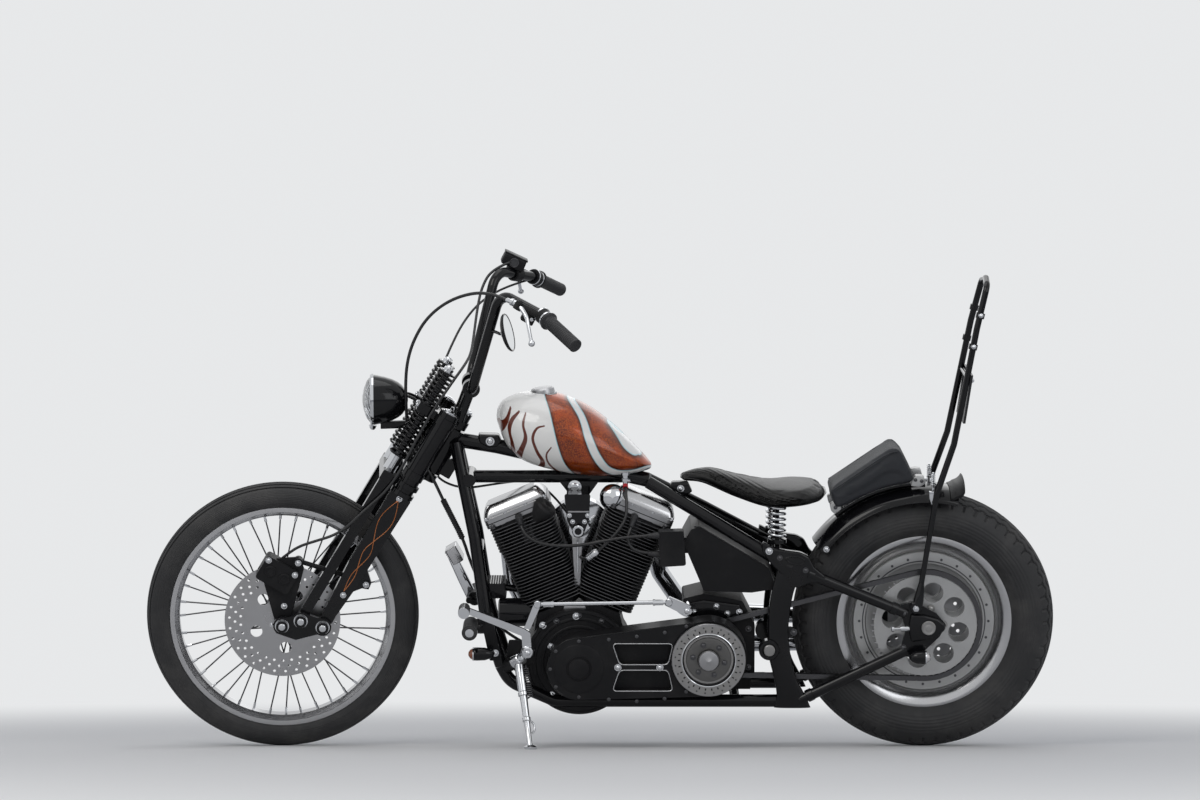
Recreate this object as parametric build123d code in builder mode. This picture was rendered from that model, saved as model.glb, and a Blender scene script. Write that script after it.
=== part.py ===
from build123d import *
import os
from math import atan2, cos, radians, sin, sqrt, tan

# A long, low chopper motorcycle with a springer fork, leaning on its side stand. Millimetres.
# It is drawn upright: X forward from the rear axle, Y to its own left, Z up from the floor line.
# The fork is drawn in its own frame: X square to the steering axis and forward, Z up along it.

os.makedirs("parts", exist_ok=True)

# Stance, in degrees and millimetres
lean = 12.5
rake = 31.0
neck_x, neck_z = 1196.0, 813.0
fork_offset = 130.0
steer_at_rest = 3.75
steer_stop = 30.0

# Tyres, both of round section
front_tyre_ring, front_tyre_half = 305.0, 40.0
rear_tyre_ring, rear_tyre_half = 269.0, 63.0
front_rim_radius, front_rim_half = 284.7, 30.0
rear_rim_radius, rear_rim_half = 221.7, 44.0
rim_seat = 0.3

# Axles and brakes
axle_radius = 12.5
axle_fit = 0.5
front_disc_radius, front_disc_wall, front_disc_y = 146.0, 5.0, 58.0
rear_disc_radius, rear_disc_wall, rear_disc_y = 146.0, 6.0, -78.0
disc_slot = 16.0

# Frame tubes
tube_across = 32.0
backbone_across = 38.0
rail_y = 98.0
rail_z = 142.0
stay_across = 28.0
stay_y = 108.0
side_plate_wall = 20.0
neck_radius = 29.0
neck_top, neck_bottom = 15.0, -110.0
tree_gap = 5.0

# Engine: two cylinders in a V over one crankcase
crank_x, crank_z = 875.0, 242.0
cylinder_angle = 22.5
cylinder_base, head_base, head_top = 150.0, 320.0, 395.0
rocker_top = 448.0
case_radius = 135.0
fin_half_long, fin_half_wide = 78.0, 75.0
fin_pitch, fin_wall = 12.0, 4.0

# Primary drive, gearbox and chain
clutch_x, clutch_z = 550.0, 268.0
clutch_radius = 92.0
primary_front_radius, primary_rear_radius = 80.0, 97.0
primary_inner_y, primary_outer_y = 100.0, 172.0
clutch_outer_y = 190.0
chain_y, chain_width, chain_depth = 78.0, 18.0, 14.0
sprocket_radius = 130.0
gear_sprocket_radius = 54.0
chain_fit = 1.0

# Fork
leg_back, spring_leg_back = 90.0, 34.0
leg_rise, spring_leg_rise = 48.0, 35.0
leg_y, leg_across, leg_wall = 90.0, 50.0, 26.0
leg_wide_top, leg_wide_foot = 58.0, 32.0
spring_y, spring_radius = 58.0, 25.0
spring_wire, spring_pitch = 7.0, 12.0
tree_wall = 22.0
rocker_y, rocker_wall = 104.0, 13.0
bar_across, grip_across = 25.4, 34.0
lamp_radius = 66.0

# Side stand
stand_x, stand_y, stand_z = 1027.0, 134.0, 256.0
stand_foot_x, stand_foot_y = 995.0, 250.0
stand_across, stand_foot_radius, stand_foot_wall = 24.0, 21.0, 8.0
stand_stow_drop = 52.0  # degrees that the folded stand points below level
stand_boss_radius, stand_boss_half, stand_boss_fit = 17.0, 13.0, 0.3
stand_plate_near, stand_plate_far = 97.0, 105.0

# Cords, and the share of a straight run that an arc at its end may take
clutch_cable_across, throttle_cable_across, brake_hose_across = 8.0, 6.0, 7.0
plug_lead_across, fuel_line_across = 8.0, 8.0
cord_arc_share = 0.45

# Distances that follow from the sizes above
s_lean, c_lean = sin(radians(lean)), cos(radians(lean))
s_rake, c_rake = sin(radians(rake)), cos(radians(rake))
s_steer, c_steer = sin(radians(steer_at_rest)), cos(radians(steer_at_rest))
rear_axle_z = rear_tyre_ring + rear_tyre_half / c_lean

# How far the front axle lies down the steering axis, so that the turned wheel meets the floor
wheel_slope = s_rake * s_steer * c_lean + c_steer * s_lean
front_reach = front_tyre_ring * sqrt(1 - wheel_slope ** 2) + front_tyre_half
neck_height = neck_z * c_lean + fork_offset * (s_rake * c_steer * c_lean - s_steer * s_lean)
fork_drop = (neck_height - front_reach) / (c_rake * c_lean)

tree_bottom = neck_top + tree_gap
tree_top = tree_bottom + tree_wall
leg_e = fork_offset - leg_back
spring_leg_e = fork_offset - spring_leg_back
leg_foot = -fork_drop + leg_rise
spring_leg_foot = -fork_drop + spring_leg_rise


fork_plane = Plane(origin=(neck_x, 0, neck_z), x_dir=(c_rake, 0, s_rake), z_dir=(-s_rake, 0, c_rake))
fork_at_rest = Location(fork_plane) * Location((0, 0, 0), (0, 0, steer_at_rest))


def fork_point(x, z):
    """A point of the upright side view, in the fork's own frame."""
    dx, dz = x - neck_x, z - neck_z
    return dx * c_rake + dz * s_rake, dz * c_rake - dx * s_rake


def slab(points, y0, y1, rounding=0.0, mode=Mode.ADD):
    """Add a plate cut to a side-view outline, from y0 to y1, to the piece being built."""
    with BuildPart() as plate:
        with BuildSketch(Plane.XZ.offset(-y0)):
            Polygon(*points, align=None)
            if rounding:
                fillet(vertices(), rounding)
        extrude(amount=y0 - y1)
    add(plate.part, mode=mode)


def drum(x, z, y0, y1, radius, mode=Mode.ADD):
    """Add a round piece whose axis runs across the machine."""
    with BuildPart() as disc:
        with BuildSketch(Plane.XZ.offset(-y0)):
            with Locations((x, z)):
                Circle(radius)
        extrude(amount=y0 - y1)
    add(disc.part, mode=mode)


def rod(start, end, across, mode=Mode.ADD):
    """Add a straight round bar between two points."""
    with BuildPart() as bar:
        with BuildLine() as route:
            Line(start, end)
        with BuildSketch(Plane(origin=start, z_dir=route.line % 0)):
            Circle(across / 2)
        sweep(path=route.line)
    add(bar.part, mode=mode)


def tube(points, bend, across, mode=Mode.ADD):
    """Add a bar bent through a list of points, with arcs at its corners."""
    with BuildPart() as bar:
        with BuildLine() as route:
            FilletPolyline(*points, radius=bend)
        with BuildSketch(Plane(origin=points[0], z_dir=route.line % 0)):
            Circle(across / 2)
        sweep(path=route.line)
    add(bar.part, mode=mode)


def both_sides(points):
    """The same list of points on the left and on the right."""
    return points, [(x, -y, z) for x, y, z in points]


def cord(name, points, across):
    """Add a cord along its route, with the widest arcs that its runs have room for."""
    runs = [Vector(*end) - Vector(*start) for start, end in zip(points, points[1:])]
    bends = [cord_arc_share * min(a.length, b.length) / tan(radians(a.get_angle(b)) / 2)
             for a, b in zip(runs, runs[1:])]
    tube(points, bends, across)
    print(name, "runs", [round(run.length) for run in runs], "radii", [round(bend) for bend in bends])


# Frame, one steel loop in several pieces
neck_low = (neck_x - neck_bottom * s_rake, 0, neck_z + neck_bottom * c_rake)
neck_high = (neck_x - neck_top * s_rake, 0, neck_z + neck_top * c_rake)
backbone_start = (neck_x + 16 * s_rake, 0, neck_z - 16 * c_rake)
backbone_bend = (1082, 0, 779)
backbone_end = (700, 0, 692)
tank_tube_z = 701.0
downtube_points = [(1186, 24, 792), (1137, 62, 554), (1110, 95, 360)]
downtube_foot = (1072, rail_y, 234)
rail_front = (936, rail_y, rail_z)
rail_cross_x = (920, 700, 480)
plate_x, plate_low, plate_high = 340.0, 128.0, 500.0
seat_rail_top = (700, 22, 690)
seat_rail_foot = (plate_x, stay_y, 486)

neck_block = [(1209, 753), (1180, 735), (1204, 696), (1233, 713)]
neck_block_half = 15.0
with BuildPart() as frame_head:
    rod(neck_low, neck_high, 2 * neck_radius)
    slab(neck_block, -neck_block_half, neck_block_half, 3)

with BuildPart() as frame_backbone:
    tube([backbone_start, backbone_bend, backbone_end], 200, backbone_across)
    rod((1140, 0, tank_tube_z), (760, 0, tank_tube_z), tube_across)
    slab([(925, 690), (825, 690), (850, 655), (898, 655)], -12, 12)
    add(frame_head.part, mode=Mode.SUBTRACT)

with BuildPart() as frame_downtubes:
    for points in both_sides(downtube_points + [downtube_foot]):
        tube(points, 60, tube_across)
    rod((1130, -64, 520), (1130, 64, 520), tube_across * 0.8)
    rod((1151, -58, tank_tube_z), (1151, 58, tank_tube_z), tube_across)
    add(frame_head.part, mode=Mode.SUBTRACT)
    add(frame_backbone.part, mode=Mode.SUBTRACT)

with BuildPart() as frame_rails:
    for points in both_sides([downtube_foot, (1050, rail_y, 192), rail_front, (plate_x - 20, rail_y, rail_z)]):
        tube(points, 70, tube_across)
    for cross_x in rail_cross_x:
        rod((cross_x, -rail_y, rail_z), (cross_x, rail_y, rail_z), tube_across * 0.8)
    add(frame_downtubes.part, mode=Mode.SUBTRACT)

with BuildPart() as frame_seat_rails:
    for points in both_sides([seat_rail_top, (560, 62, 612), seat_rail_foot]):
        tube(points, 120, tube_across)
    add(frame_backbone.part, mode=Mode.SUBTRACT)

side_plate = [
    (plate_x - 42, plate_high), (plate_x - 4, plate_high + 12), (plate_x + 34, plate_high - 16),
    (plate_x + 26, 380), (plate_x + 34, 250), (plate_x + 44, plate_low),
    (plate_x - 60, plate_low), (plate_x - 26, 240), (plate_x - 24, 380),
]
with BuildPart() as frame_side_plates:
    for side in (1, -1):
        inner = side * (stay_y - side_plate_wall / 2)
        outer = side * (stay_y + side_plate_wall / 2)
        slab(side_plate, inner, outer, 8)
    rod((plate_x + 24, -stay_y, 430), (plate_x + 24, stay_y, 430), 24)
    add(frame_rails.part, mode=Mode.SUBTRACT)
    add(frame_seat_rails.part, mode=Mode.SUBTRACT)

axle_plate = [(72, 392), (30, 402), (-24, 372), (-50, 342), (-34, 312), (22, 258), (68, 262), (52, 330)]
with BuildPart() as frame_lower_stays:
    for points in both_sides([(318, stay_y, 146), (48, stay_y, 276)]):
        rod(*points, stay_across)
    for side in (1, -1):
        slab(axle_plate, side * (stay_y - 7), side * (stay_y + 7), 8)
    drum(0, rear_axle_z, -stay_y - 24, stay_y + 24, axle_radius)
    add(frame_side_plates.part, mode=Mode.SUBTRACT)
    add(frame_rails.part, mode=Mode.SUBTRACT)

with BuildPart() as frame_upper_stays:
    for points in both_sides([(316, stay_y, 480), (50, stay_y, 370)]):
        rod(*points, stay_across)
    add(frame_side_plates.part, mode=Mode.SUBTRACT)
    add(frame_lower_stays.part, mode=Mode.SUBTRACT)


def v_plane(side, height=0.0):
    """A drawing plane square to one cylinder's axis: side 1 leans forward, side -1 leans back."""
    angle = radians(cylinder_angle) * side
    along = Vector(sin(angle), 0, cos(angle))
    origin = Vector(crank_x, 0, crank_z) + along * height
    return Plane(origin=origin, x_dir=(cos(angle), 0, -sin(angle)), z_dir=along)


# Engine
with BuildPart() as crankcase:
    drum(crank_x, crank_z, -80, primary_inner_y, case_radius)
    slab([(crank_x - 118, 300), (crank_x + 118, 300), (crank_x + 96, 386), (crank_x, 376), (crank_x - 96, 386)],
         -70, 70)
    drum(crank_x, crank_z, -108, -80, case_radius - 18)
    slab([(crank_x - 175, 150), (crank_x, 118), (crank_x, 250), (crank_x - 175, 300)], -60, 60)
    for side in (1, -1):
        with BuildSketch(v_plane(side, cylinder_base)):
            Rectangle(4 * fin_half_long, 4 * fin_half_wide)
        extrude(amount=60, mode=Mode.SUBTRACT)
    add(frame_rails.part, mode=Mode.SUBTRACT)

with BuildPart() as cylinders:
    for side in (1, -1):
        with BuildSketch(v_plane(side, cylinder_base)):
            Circle(58)
        extrude(amount=head_top - cylinder_base)
        height = cylinder_base + 8
        while height < head_top - fin_wall:
            reach = 1.0 if height < head_base else 1.04
            with BuildSketch(v_plane(side, height)):
                RectangleRounded(2 * fin_half_long * reach, 2 * fin_half_wide * reach, 30)
            extrude(amount=fin_wall)
            height += fin_pitch
    with BuildSketch(Plane.YZ.offset(crank_x)):
        with Locations((0, crank_z + 250)):
            Rectangle(4 * fin_half_wide, 700)
    extrude(amount=2, both=True, mode=Mode.SUBTRACT)
    add(crankcase.part, mode=Mode.SUBTRACT)

with BuildPart() as rocker_boxes:
    for side in (1, -1):
        with BuildSketch(v_plane(side, head_top)):
            RectangleRounded(2 * 86, 2 * 62, 16)
        extrude(amount=24)
        with BuildSketch(v_plane(side, head_top + 24)):
            RectangleRounded(2 * 84, 2 * 60, 16)
        extrude(amount=rocker_top - head_top - 24, taper=32)
        with BuildSketch(v_plane(side, head_top)):
            with Locations((-side * 32, -82)):
                RectangleRounded(66, 48, 8)
        extrude(amount=20)

with BuildPart() as engine_bracket:
    slab([(846, 668), (912, 668), (905, 600), (884, 560), (866, 560), (850, 600)], 64, 70, 5)
    slab([(852, 668), (906, 668), (900, 634), (858, 634)], 12, 64)
    rod((crank_x, 70, 575), (crank_x, 92, 575), 26)
    add(frame_backbone.part, mode=Mode.SUBTRACT)
    add(rocker_boxes.part, mode=Mode.SUBTRACT)
    add(cylinders.part, mode=Mode.SUBTRACT)

pushrod_across, pushrod_y = 18.0, -92.0
# How far ahead of or behind the crankshaft each tube stands, at its foot and at its head
pushrod_spans = (((34, 340), (138, 625)), ((12, 346), (109, 637)))
with BuildPart() as pushrod_tubes:
    for side in (1, -1):
        for (foot_dx, foot_z), (head_dx, head_z) in pushrod_spans:
            rod((crank_x + side * foot_dx, pushrod_y, foot_z), (crank_x + side * head_dx, pushrod_y, head_z),
                pushrod_across)
    add(crankcase.part, mode=Mode.SUBTRACT)
    add(cylinders.part, mode=Mode.SUBTRACT)
    add(rocker_boxes.part, mode=Mode.SUBTRACT)

with BuildPart() as air_cleaner:
    drum(crank_x, 548, -124, -76, 26)
    drum(crank_x, 530, -184, -124, 88)
    fillet(edges().group_by(Axis.Y)[0], 18)
    add(cylinders.part, mode=Mode.SUBTRACT)
    add(pushrod_tubes.part, mode=Mode.SUBTRACT)

pipe_across = 46.0
with BuildPart() as exhaust_pipes:
    tube([(1050, -70, 560), (1062, -150, 536), (1048, -160, 400), (980, -160, 262), (760, -160, 226),
          (180, -160, 236)], 40, pipe_across)
    tube([(700, -70, 560), (690, -150, 536), (668, -160, 420), (600, -160, 320), (180, -160, 300)],
         40, pipe_across)
    add(cylinders.part, mode=Mode.SUBTRACT)

# Primary drive, gearbox, chain

def belt_outline(front, rear):
    """Two circles and the straight sides between them, in the current sketch."""
    with Locations((crank_x, crank_z)):
        Circle(front)
    with Locations((clutch_x, clutch_z)):
        Circle(rear)
    Polygon((crank_x, crank_z + front), (clutch_x, clutch_z + rear), (clutch_x, clutch_z - rear),
            (crank_x, crank_z - front), align=None)


with BuildPart() as primary_drive:
    with BuildSketch(Plane.XZ.offset(-primary_inner_y)):
        belt_outline(primary_front_radius, primary_rear_radius)
    extrude(amount=primary_inner_y - primary_outer_y)
    for low, high, slant in ((254, 306, 1), (186, 238, -1)):
        wide, narrow = (790, 640), (772, 652)
        top, foot = (wide, narrow) if slant > 0 else (narrow, wide)
        slab([(top[0], high), (top[1], high), (foot[1], low), (foot[0], low)],
             primary_outer_y - 26, primary_outer_y + 1, 8, Mode.SUBTRACT)
    drum(clutch_x, clutch_z, primary_outer_y - 20, primary_outer_y + 1, clutch_radius + 2, Mode.SUBTRACT)

with BuildPart() as clutch_drum:
    drum(clutch_x, clutch_z, primary_outer_y - 20, clutch_outer_y, clutch_radius)
    drum(clutch_x, clutch_z, clutch_outer_y - 10, clutch_outer_y + 1, clutch_radius - 26, Mode.SUBTRACT)
    drum(clutch_x, clutch_z, clutch_outer_y - 12, clutch_outer_y + 4, 26)

with BuildPart() as gearbox:
    slab([(596, 196), (430, 196), (430, 330), (462, 392), (560, 411), (612, 398), (612, 366), (596, 350)], -84, 62, 6)
    drum(clutch_x, clutch_z, 60, primary_inner_y, 34)
    slab([(590, 160), (440, 160), (440, 198), (590, 198)], -60, 50)
    drum(500, 300, -108, -84, 62)
    add(crankcase.part, mode=Mode.SUBTRACT)
    add(frame_rails.part, mode=Mode.SUBTRACT)

with BuildPart() as drive_chain:
    span = sqrt((clutch_x ** 2) + (clutch_z - rear_axle_z) ** 2)
    for grow, mode in ((chain_depth, Mode.ADD), (0, Mode.SUBTRACT)):
        rear = sprocket_radius + chain_fit + grow
        front = gear_sprocket_radius + chain_fit + grow
        tilt = atan2(clutch_z - rear_axle_z, clutch_x)
        wrap = atan2(rear - front, span)
        corners = []
        for cx, cz, radius, side in ((0, rear_axle_z, rear, 1), (clutch_x, clutch_z, front, 1),
                                     (clutch_x, clutch_z, front, -1), (0, rear_axle_z, rear, -1)):
            angle = tilt + side * (radians(90) - wrap)
            corners.append((cx + radius * cos(angle), cz + radius * sin(angle)))
        slab(corners, chain_y - chain_width / 2, chain_y + chain_width / 2, 0, mode)
        drum(0, rear_axle_z, chain_y - chain_width / 2, chain_y + chain_width / 2, rear, mode)
        drum(clutch_x, clutch_z, chain_y - chain_width / 2, chain_y + chain_width / 2, front, mode)

with BuildPart() as gear_sprocket:
    drum(clutch_x, clutch_z, chain_y - 4, chain_y + 4, gear_sprocket_radius + chain_fit)
    add(gearbox.part, mode=Mode.SUBTRACT)

# Tanks and boxes
with BuildPart() as oil_tank:
    slab([(612, 548), (594, 582), (572, 590), (398, 484), (376, 430), (440, 420), (560, 424)], -92, 92, 8)
    add(frame_seat_rails.part, mode=Mode.SUBTRACT)
    add(gearbox.part, mode=Mode.SUBTRACT)
    add(frame_side_plates.part, mode=Mode.SUBTRACT)

with BuildPart() as coil_box:
    slab([(678, 582), (612, 584), (606, 496), (670, 492)], 84, 122, 6)
    slab([(640, 560), (600, 560), (600, 520), (640, 520)], 60, 84)
    add(oil_tank.part, mode=Mode.SUBTRACT)
    add(cylinders.part, mode=Mode.SUBTRACT)

# Fuel tank: sections across the machine, each with its foot, its top and its half width
tank_sections = (
    # x, foot, top, half width
    (1080, 838, 876, 22),
    (1062, 790, 900, 68),
    (1020, 746, 916, 100),
    (950, 722, 920, 116),
    (860, 706, 888, 112),
    (780, 706, 828, 92),
    (724, 714, 772, 58),
    (694, 722, 738, 20),
)
tank_wall_gap = 6.0
petcock_top, petcock_foot = (758, 50, 738), (758, 50, 690)
with BuildPart() as fuel_tank:
    for x, foot, top, half in tank_sections:
        with BuildSketch(Plane(origin=(x, 0, (foot + top) / 2), x_dir=(0, 1, 0), z_dir=(1, 0, 0))):
            Ellipse(half, (top - foot) / 2)
    loft()
    slab([(1120, 700), (1120, 822), (700, 722), (660, 690)], -backbone_across / 2 - tank_wall_gap,
         backbone_across / 2 + tank_wall_gap, 0, Mode.SUBTRACT)

    add(frame_backbone.part, mode=Mode.SUBTRACT)
    with BuildSketch(Plane.XY.offset(890)):
        with Locations((966, 0)):
            Circle(30)
    extrude(amount=40)
    rod(petcock_top, petcock_foot, 16)

# Seat, pad, fender and back bar
saddle_sections = (
    # x, middle height, half width, half thickness
    (616, 707, 26, 7),
    (560, 706, 50, 15),
    (480, 680, 84, 20),
    (400, 660, 118, 22),
    (330, 662, 134, 21),
    (276, 668, 112, 16),
    (250, 671, 66, 8),
)
with BuildPart() as saddle:
    for x, middle, half, thick in saddle_sections:
        with BuildSketch(Plane(origin=(x, 0, middle), x_dir=(0, 1, 0), z_dir=(1, 0, 0))):
            Ellipse(half, thick)
    loft()

seat_spring_x, seat_spring_y = 376, 72
with BuildPart() as saddle_mount:
    for side in (1, -1):
        y = side * seat_spring_y
        rod((seat_spring_x, y, 548), (seat_spring_x, y, 650), 14)
        for turn in range(6):
            height = 562 + turn * 13
            rod((seat_spring_x, y, height), (seat_spring_x, y, height + 7), 44)
        rod((seat_spring_x, y, 545), (seat_spring_x, side * 104, 522), 14)
        slab([(seat_spring_x - 30, 544), (seat_spring_x + 30, 544), (seat_spring_x + 30, 552),
              (seat_spring_x - 30, 552)], y - 24, y + 24)
    rod((seat_spring_x, -seat_spring_y, 548), (seat_spring_x, seat_spring_y, 548), 14)
    slab([(640, 688), (600, 690), (588, 664), (626, 640), (664, 650)], -14, 14, 4)
    add(saddle.part, mode=Mode.SUBTRACT)
    add(frame_seat_rails.part, mode=Mode.SUBTRACT)
    add(frame_side_plates.part, mode=Mode.SUBTRACT)
    add(oil_tank.part, mode=Mode.SUBTRACT)

fender_radius, fender_wall, fender_half, fender_skirt = 350.0, 4.0, 84.0, 34.0
fender_from, fender_to = 36.0, 106.0
with BuildPart() as rear_fender:
    with BuildSketch(Plane.YZ):
        with Locations((0, fender_radius - fender_skirt)):
            RectangleRounded(2 * fender_half, 2 * fender_skirt, 22)
            RectangleRounded(2 * (fender_half - fender_wall), 2 * (fender_skirt - fender_wall), 22 - fender_wall,
                             mode=Mode.SUBTRACT)
        with Locations((0, fender_radius - 1.5 * fender_skirt)):
            Rectangle(2 * fender_half + 1, fender_skirt, mode=Mode.SUBTRACT)
    revolve(axis=Axis((0, 0, 0), (0, -1, 0)), revolution_arc=fender_to - fender_from)
fender_turn = Location((0, 0, rear_axle_z)) * Location((0, 0, 0), (0, 90 - fender_from, 0))
rear_fender.part = rear_fender.part.moved(fender_turn)

pad_outline = [(222, 646), (246, 700), (92, 812), (76, 806), (32, 722), (110, 700), (170, 674)]
with BuildPart() as pillion_pad:
    slab(pad_outline, -82, 82, 6)
    add(rear_fender.part, mode=Mode.SUBTRACT)

bar_foot, bar_mid, bar_top = (26, 380), (-22, 675), (-143, 1196)
with BuildPart() as sissy_bar:
    for side in (1, -1):
        rod((bar_foot[0], side * 122, bar_foot[1]), (bar_mid[0], side * 100, bar_mid[1]), 14)
    tube([(bar_mid[0], 100, bar_mid[1]), (-64, 92, 800), (-118, 76, 1090), (-143, 62, 1196), (-146, 0, 1208),
          (-143, -62, 1196), (-118, -76, 1090), (-64, -92, 800), (bar_mid[0], -100, bar_mid[1])], 22, 16)
    rod((-97, -84, 966), (-97, 84, 966), 12)
    for side in (1, -1):
        rod((-24, side * 80, 690), (-24, side * 101, 690), 16)
    add(frame_lower_stays.part, mode=Mode.SUBTRACT)
    add(rear_fender.part, mode=Mode.SUBTRACT)

plate_foot, plate_head = (-86, 852), (-103.6, 974)
plate_wall, plate_half = 6.0, 90.0
plate_hole_pitch, plate_hole_radius = 140.0, 3.5
with BuildPart() as number_plate:
    slab([(plate_foot[0] - plate_wall, plate_foot[1]), plate_foot, plate_head,
          (plate_head[0] - plate_wall, plate_head[1])], -plate_half, plate_half)
    plate_way = Vector(plate_head[0] - plate_foot[0], 0, plate_head[1] - plate_foot[1]).normalized()
    plate_hole_middle = Vector(plate_head[0], 0, plate_head[1]) - plate_way * 16
    plate_normal = Vector(plate_way.Z, 0, -plate_way.X)
    for side in (1, -1):
        with BuildSketch(Plane(origin=plate_hole_middle + Vector(0, side * plate_hole_pitch / 2, 0),
                               z_dir=plate_normal)):
            Circle(plate_hole_radius)
        extrude(amount=20, both=True, mode=Mode.SUBTRACT)
    add(sissy_bar.part, mode=Mode.SUBTRACT)

# Side stand's hinge: its axis is square to the leg both when it is down and when it is folded back
stand_pivot = Vector(stand_x, stand_y, stand_z)
floor_up = Vector(0, -s_lean, c_lean)
foot_under = Vector(stand_foot_x, stand_foot_y, stand_foot_y * s_lean / c_lean)
stand_down = (foot_under - stand_pivot).normalized()
stand_folded = Vector(-cos(radians(stand_stow_drop)), 0, -sin(radians(stand_stow_drop)))
stand_axis = stand_down.cross(stand_folded).normalized()
stand_block_start = (stand_y - (stand_plate_near + stand_plate_far) / 2) / stand_axis.Y

# Left-hand controls
with BuildPart() as shift_linkage:
    slab([(1168, 410), (1168, 394), (1018, 332), (1014, 284), (992, 284), (996, 340), (1012, 350)], 184, 194, 3)
    slab([(1012, 350), (996, 350), (970, 410), (986, 416)], 184, 194)
    rod((978, 189, 412), (650, 163, 411), 10)
    rod((650, 150, 411), (650, 170, 411), 14)
    rod((1003, 122, 290), (1003, 198, 290), 22)
    rod((1160, 190, 402), (1160, 250, 402), 28)
    slab([(594, 400), (648, 424), (660, 402), (604, 374)], 148, 158)
    rod((600, 58, 388), (600, 164, 388), 16)
    add(primary_drive.part, mode=Mode.SUBTRACT)
    add(gearbox.part, mode=Mode.SUBTRACT)

with BuildPart() as foot_controls:
    for side in (1, -1):
        rod((1110, side * 100, 352), (1146, side * 150, 352), 18)
        rod((1146, side * 142, 352), (1146, side * 250, 352), 36)
        slab([(1125, 372), (1094, 372), (1072, 250), (1100, 250)], side * 104, side * 116, 4)
    slab([(1166, 350), (1140, 350), (1166, 402), (1196, 460), (1214, 452), (1188, 396)], -184, -172, 4)
    rod((1160, -120, 352), (1160, -186, 352), 16)
    slab([(1222, 470), (1196, 486), (1176, 448), (1200, 434)], -230, -170, 4)
    slab([(1052, 300), (989, 300), (989, 240), (1064, 224)], stand_plate_near, stand_plate_far, 4)
    rod(tuple(stand_pivot - stand_axis * stand_block_start),
        tuple(stand_pivot - stand_axis * (stand_boss_half + 4 + stand_boss_fit)), 2 * stand_boss_radius)
    add(crankcase.part, mode=Mode.SUBTRACT)
    add(frame_downtubes.part, mode=Mode.SUBTRACT)
    add(frame_rails.part, mode=Mode.SUBTRACT)
    add(shift_linkage.part, mode=Mode.SUBTRACT)

with BuildPart() as indicators:
    for side in (1, -1):
        for tail, nose, height, arm in ((1088, 1150, 275, (1086, 98, 290)), (-8, 42, 266, (34, 108, 268))):
            rod((tail, side * 148, height), (nose, side * 148, height), 34)
            rod(((tail + nose) / 2, side * 148, height), (arm[0], side * arm[1], arm[2]), 10)
    add(frame_downtubes.part, mode=Mode.SUBTRACT)
    add(frame_rails.part, mode=Mode.SUBTRACT)
    add(frame_lower_stays.part, mode=Mode.SUBTRACT)
    add(foot_controls.part, mode=Mode.SUBTRACT)

with BuildPart() as engine_auxiliaries:
    rod((990, 40, 358), (1076, 40, 358), 72)
    slab([(1106, 434), (1066, 434), (1058, 396), (1098, 396)], -50, 50, 4)
    rod((1070, 0, 415), (970, 0, 400), 18)
    add(crankcase.part, mode=Mode.SUBTRACT)
    add(cylinders.part, mode=Mode.SUBTRACT)
    add(frame_downtubes.part, mode=Mode.SUBTRACT)

with BuildPart() as rear_caliper:
    slab([(168, 356), (84, 356), (84, 288), (168, 288)], -100, -62, 10)
    slab([(94, 350), (52, 350), (52, 300), (94, 300)], -101, -92)
    drum(0, rear_axle_z, rear_disc_y - disc_slot / 2, rear_disc_y + disc_slot / 2, rear_disc_radius + 5,
         Mode.SUBTRACT)
    add(frame_lower_stays.part, mode=Mode.SUBTRACT)


# Rear wheel, drawn about its own axle
def wheel_ring(points):
    """A solid of revolution about the axle, from (y, radius) points."""
    with BuildPart() as ring:
        with BuildSketch(Plane.YZ):
            Polygon(*points, align=None)
        revolve(axis=Axis.Y)
    return ring.part


def tyre(ring_radius, half, seat_radius):
    """A round tyre with a flat seat where it meets its rim."""
    with BuildPart() as rubber:
        with BuildSketch(Plane.YZ):
            with Locations((0, ring_radius)):
                Circle(half)
            with Locations((0, seat_radius / 2)):
                Rectangle(4 * half, seat_radius, mode=Mode.SUBTRACT)
        revolve(axis=Axis.Y)
    return rubber.part


with BuildPart() as rear_tyre:
    add(tyre(rear_tyre_ring, rear_tyre_half, rear_rim_radius + rim_seat))

hub_bore = axle_radius + axle_fit
rear_rim_outline = [
    (-rear_rim_half, rear_rim_radius), (rear_rim_half, rear_rim_radius), (rear_rim_half, 215), (30, 184),
    (24, 180), (34, 178), (34, 150), (26, 147), (22, 60), (chain_y - 4, 58), (chain_y - 4, hub_bore),
    (rear_disc_y + 3, hub_bore), (rear_disc_y + 3, 52), (6, 62), (8, 150), (12, 180), (-rear_rim_half, 212),
]
hole_ring, hole_radius = 86.0, 26.0
with BuildPart() as rear_rim:
    add(wheel_ring(rear_rim_outline))
    with BuildSketch(Plane.XZ):
        with PolarLocations(hole_ring, 8, 12):
            Circle(hole_radius)
    extrude(amount=40, both=True, mode=Mode.SUBTRACT)

with BuildPart() as rear_sprocket:
    add(wheel_ring([(chain_y - 4, hub_bore), (chain_y - 4, sprocket_radius), (chain_y + 4, sprocket_radius),
                    (chain_y + 4, hub_bore)]))
    with BuildSketch(Plane.XZ):
        with PolarLocations(hole_ring, 8, 12):
            Circle(hole_radius)
    extrude(amount=-2 * chain_y, mode=Mode.SUBTRACT)

with BuildPart() as rear_disc:
    add(wheel_ring([(rear_disc_y - 3, hub_bore), (rear_disc_y - 3, rear_disc_radius),
                    (rear_disc_y + 3, rear_disc_radius), (rear_disc_y + 3, hub_bore)]))
    for ring_radius, count in ((92, 20), (110, 20), (128, 20)):
        with BuildSketch(Plane.XZ):
            with PolarLocations(ring_radius, count, ring_radius / 4):
                Circle(4.5)
        extrude(amount=-2 * rear_disc_y, mode=Mode.SUBTRACT)

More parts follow.
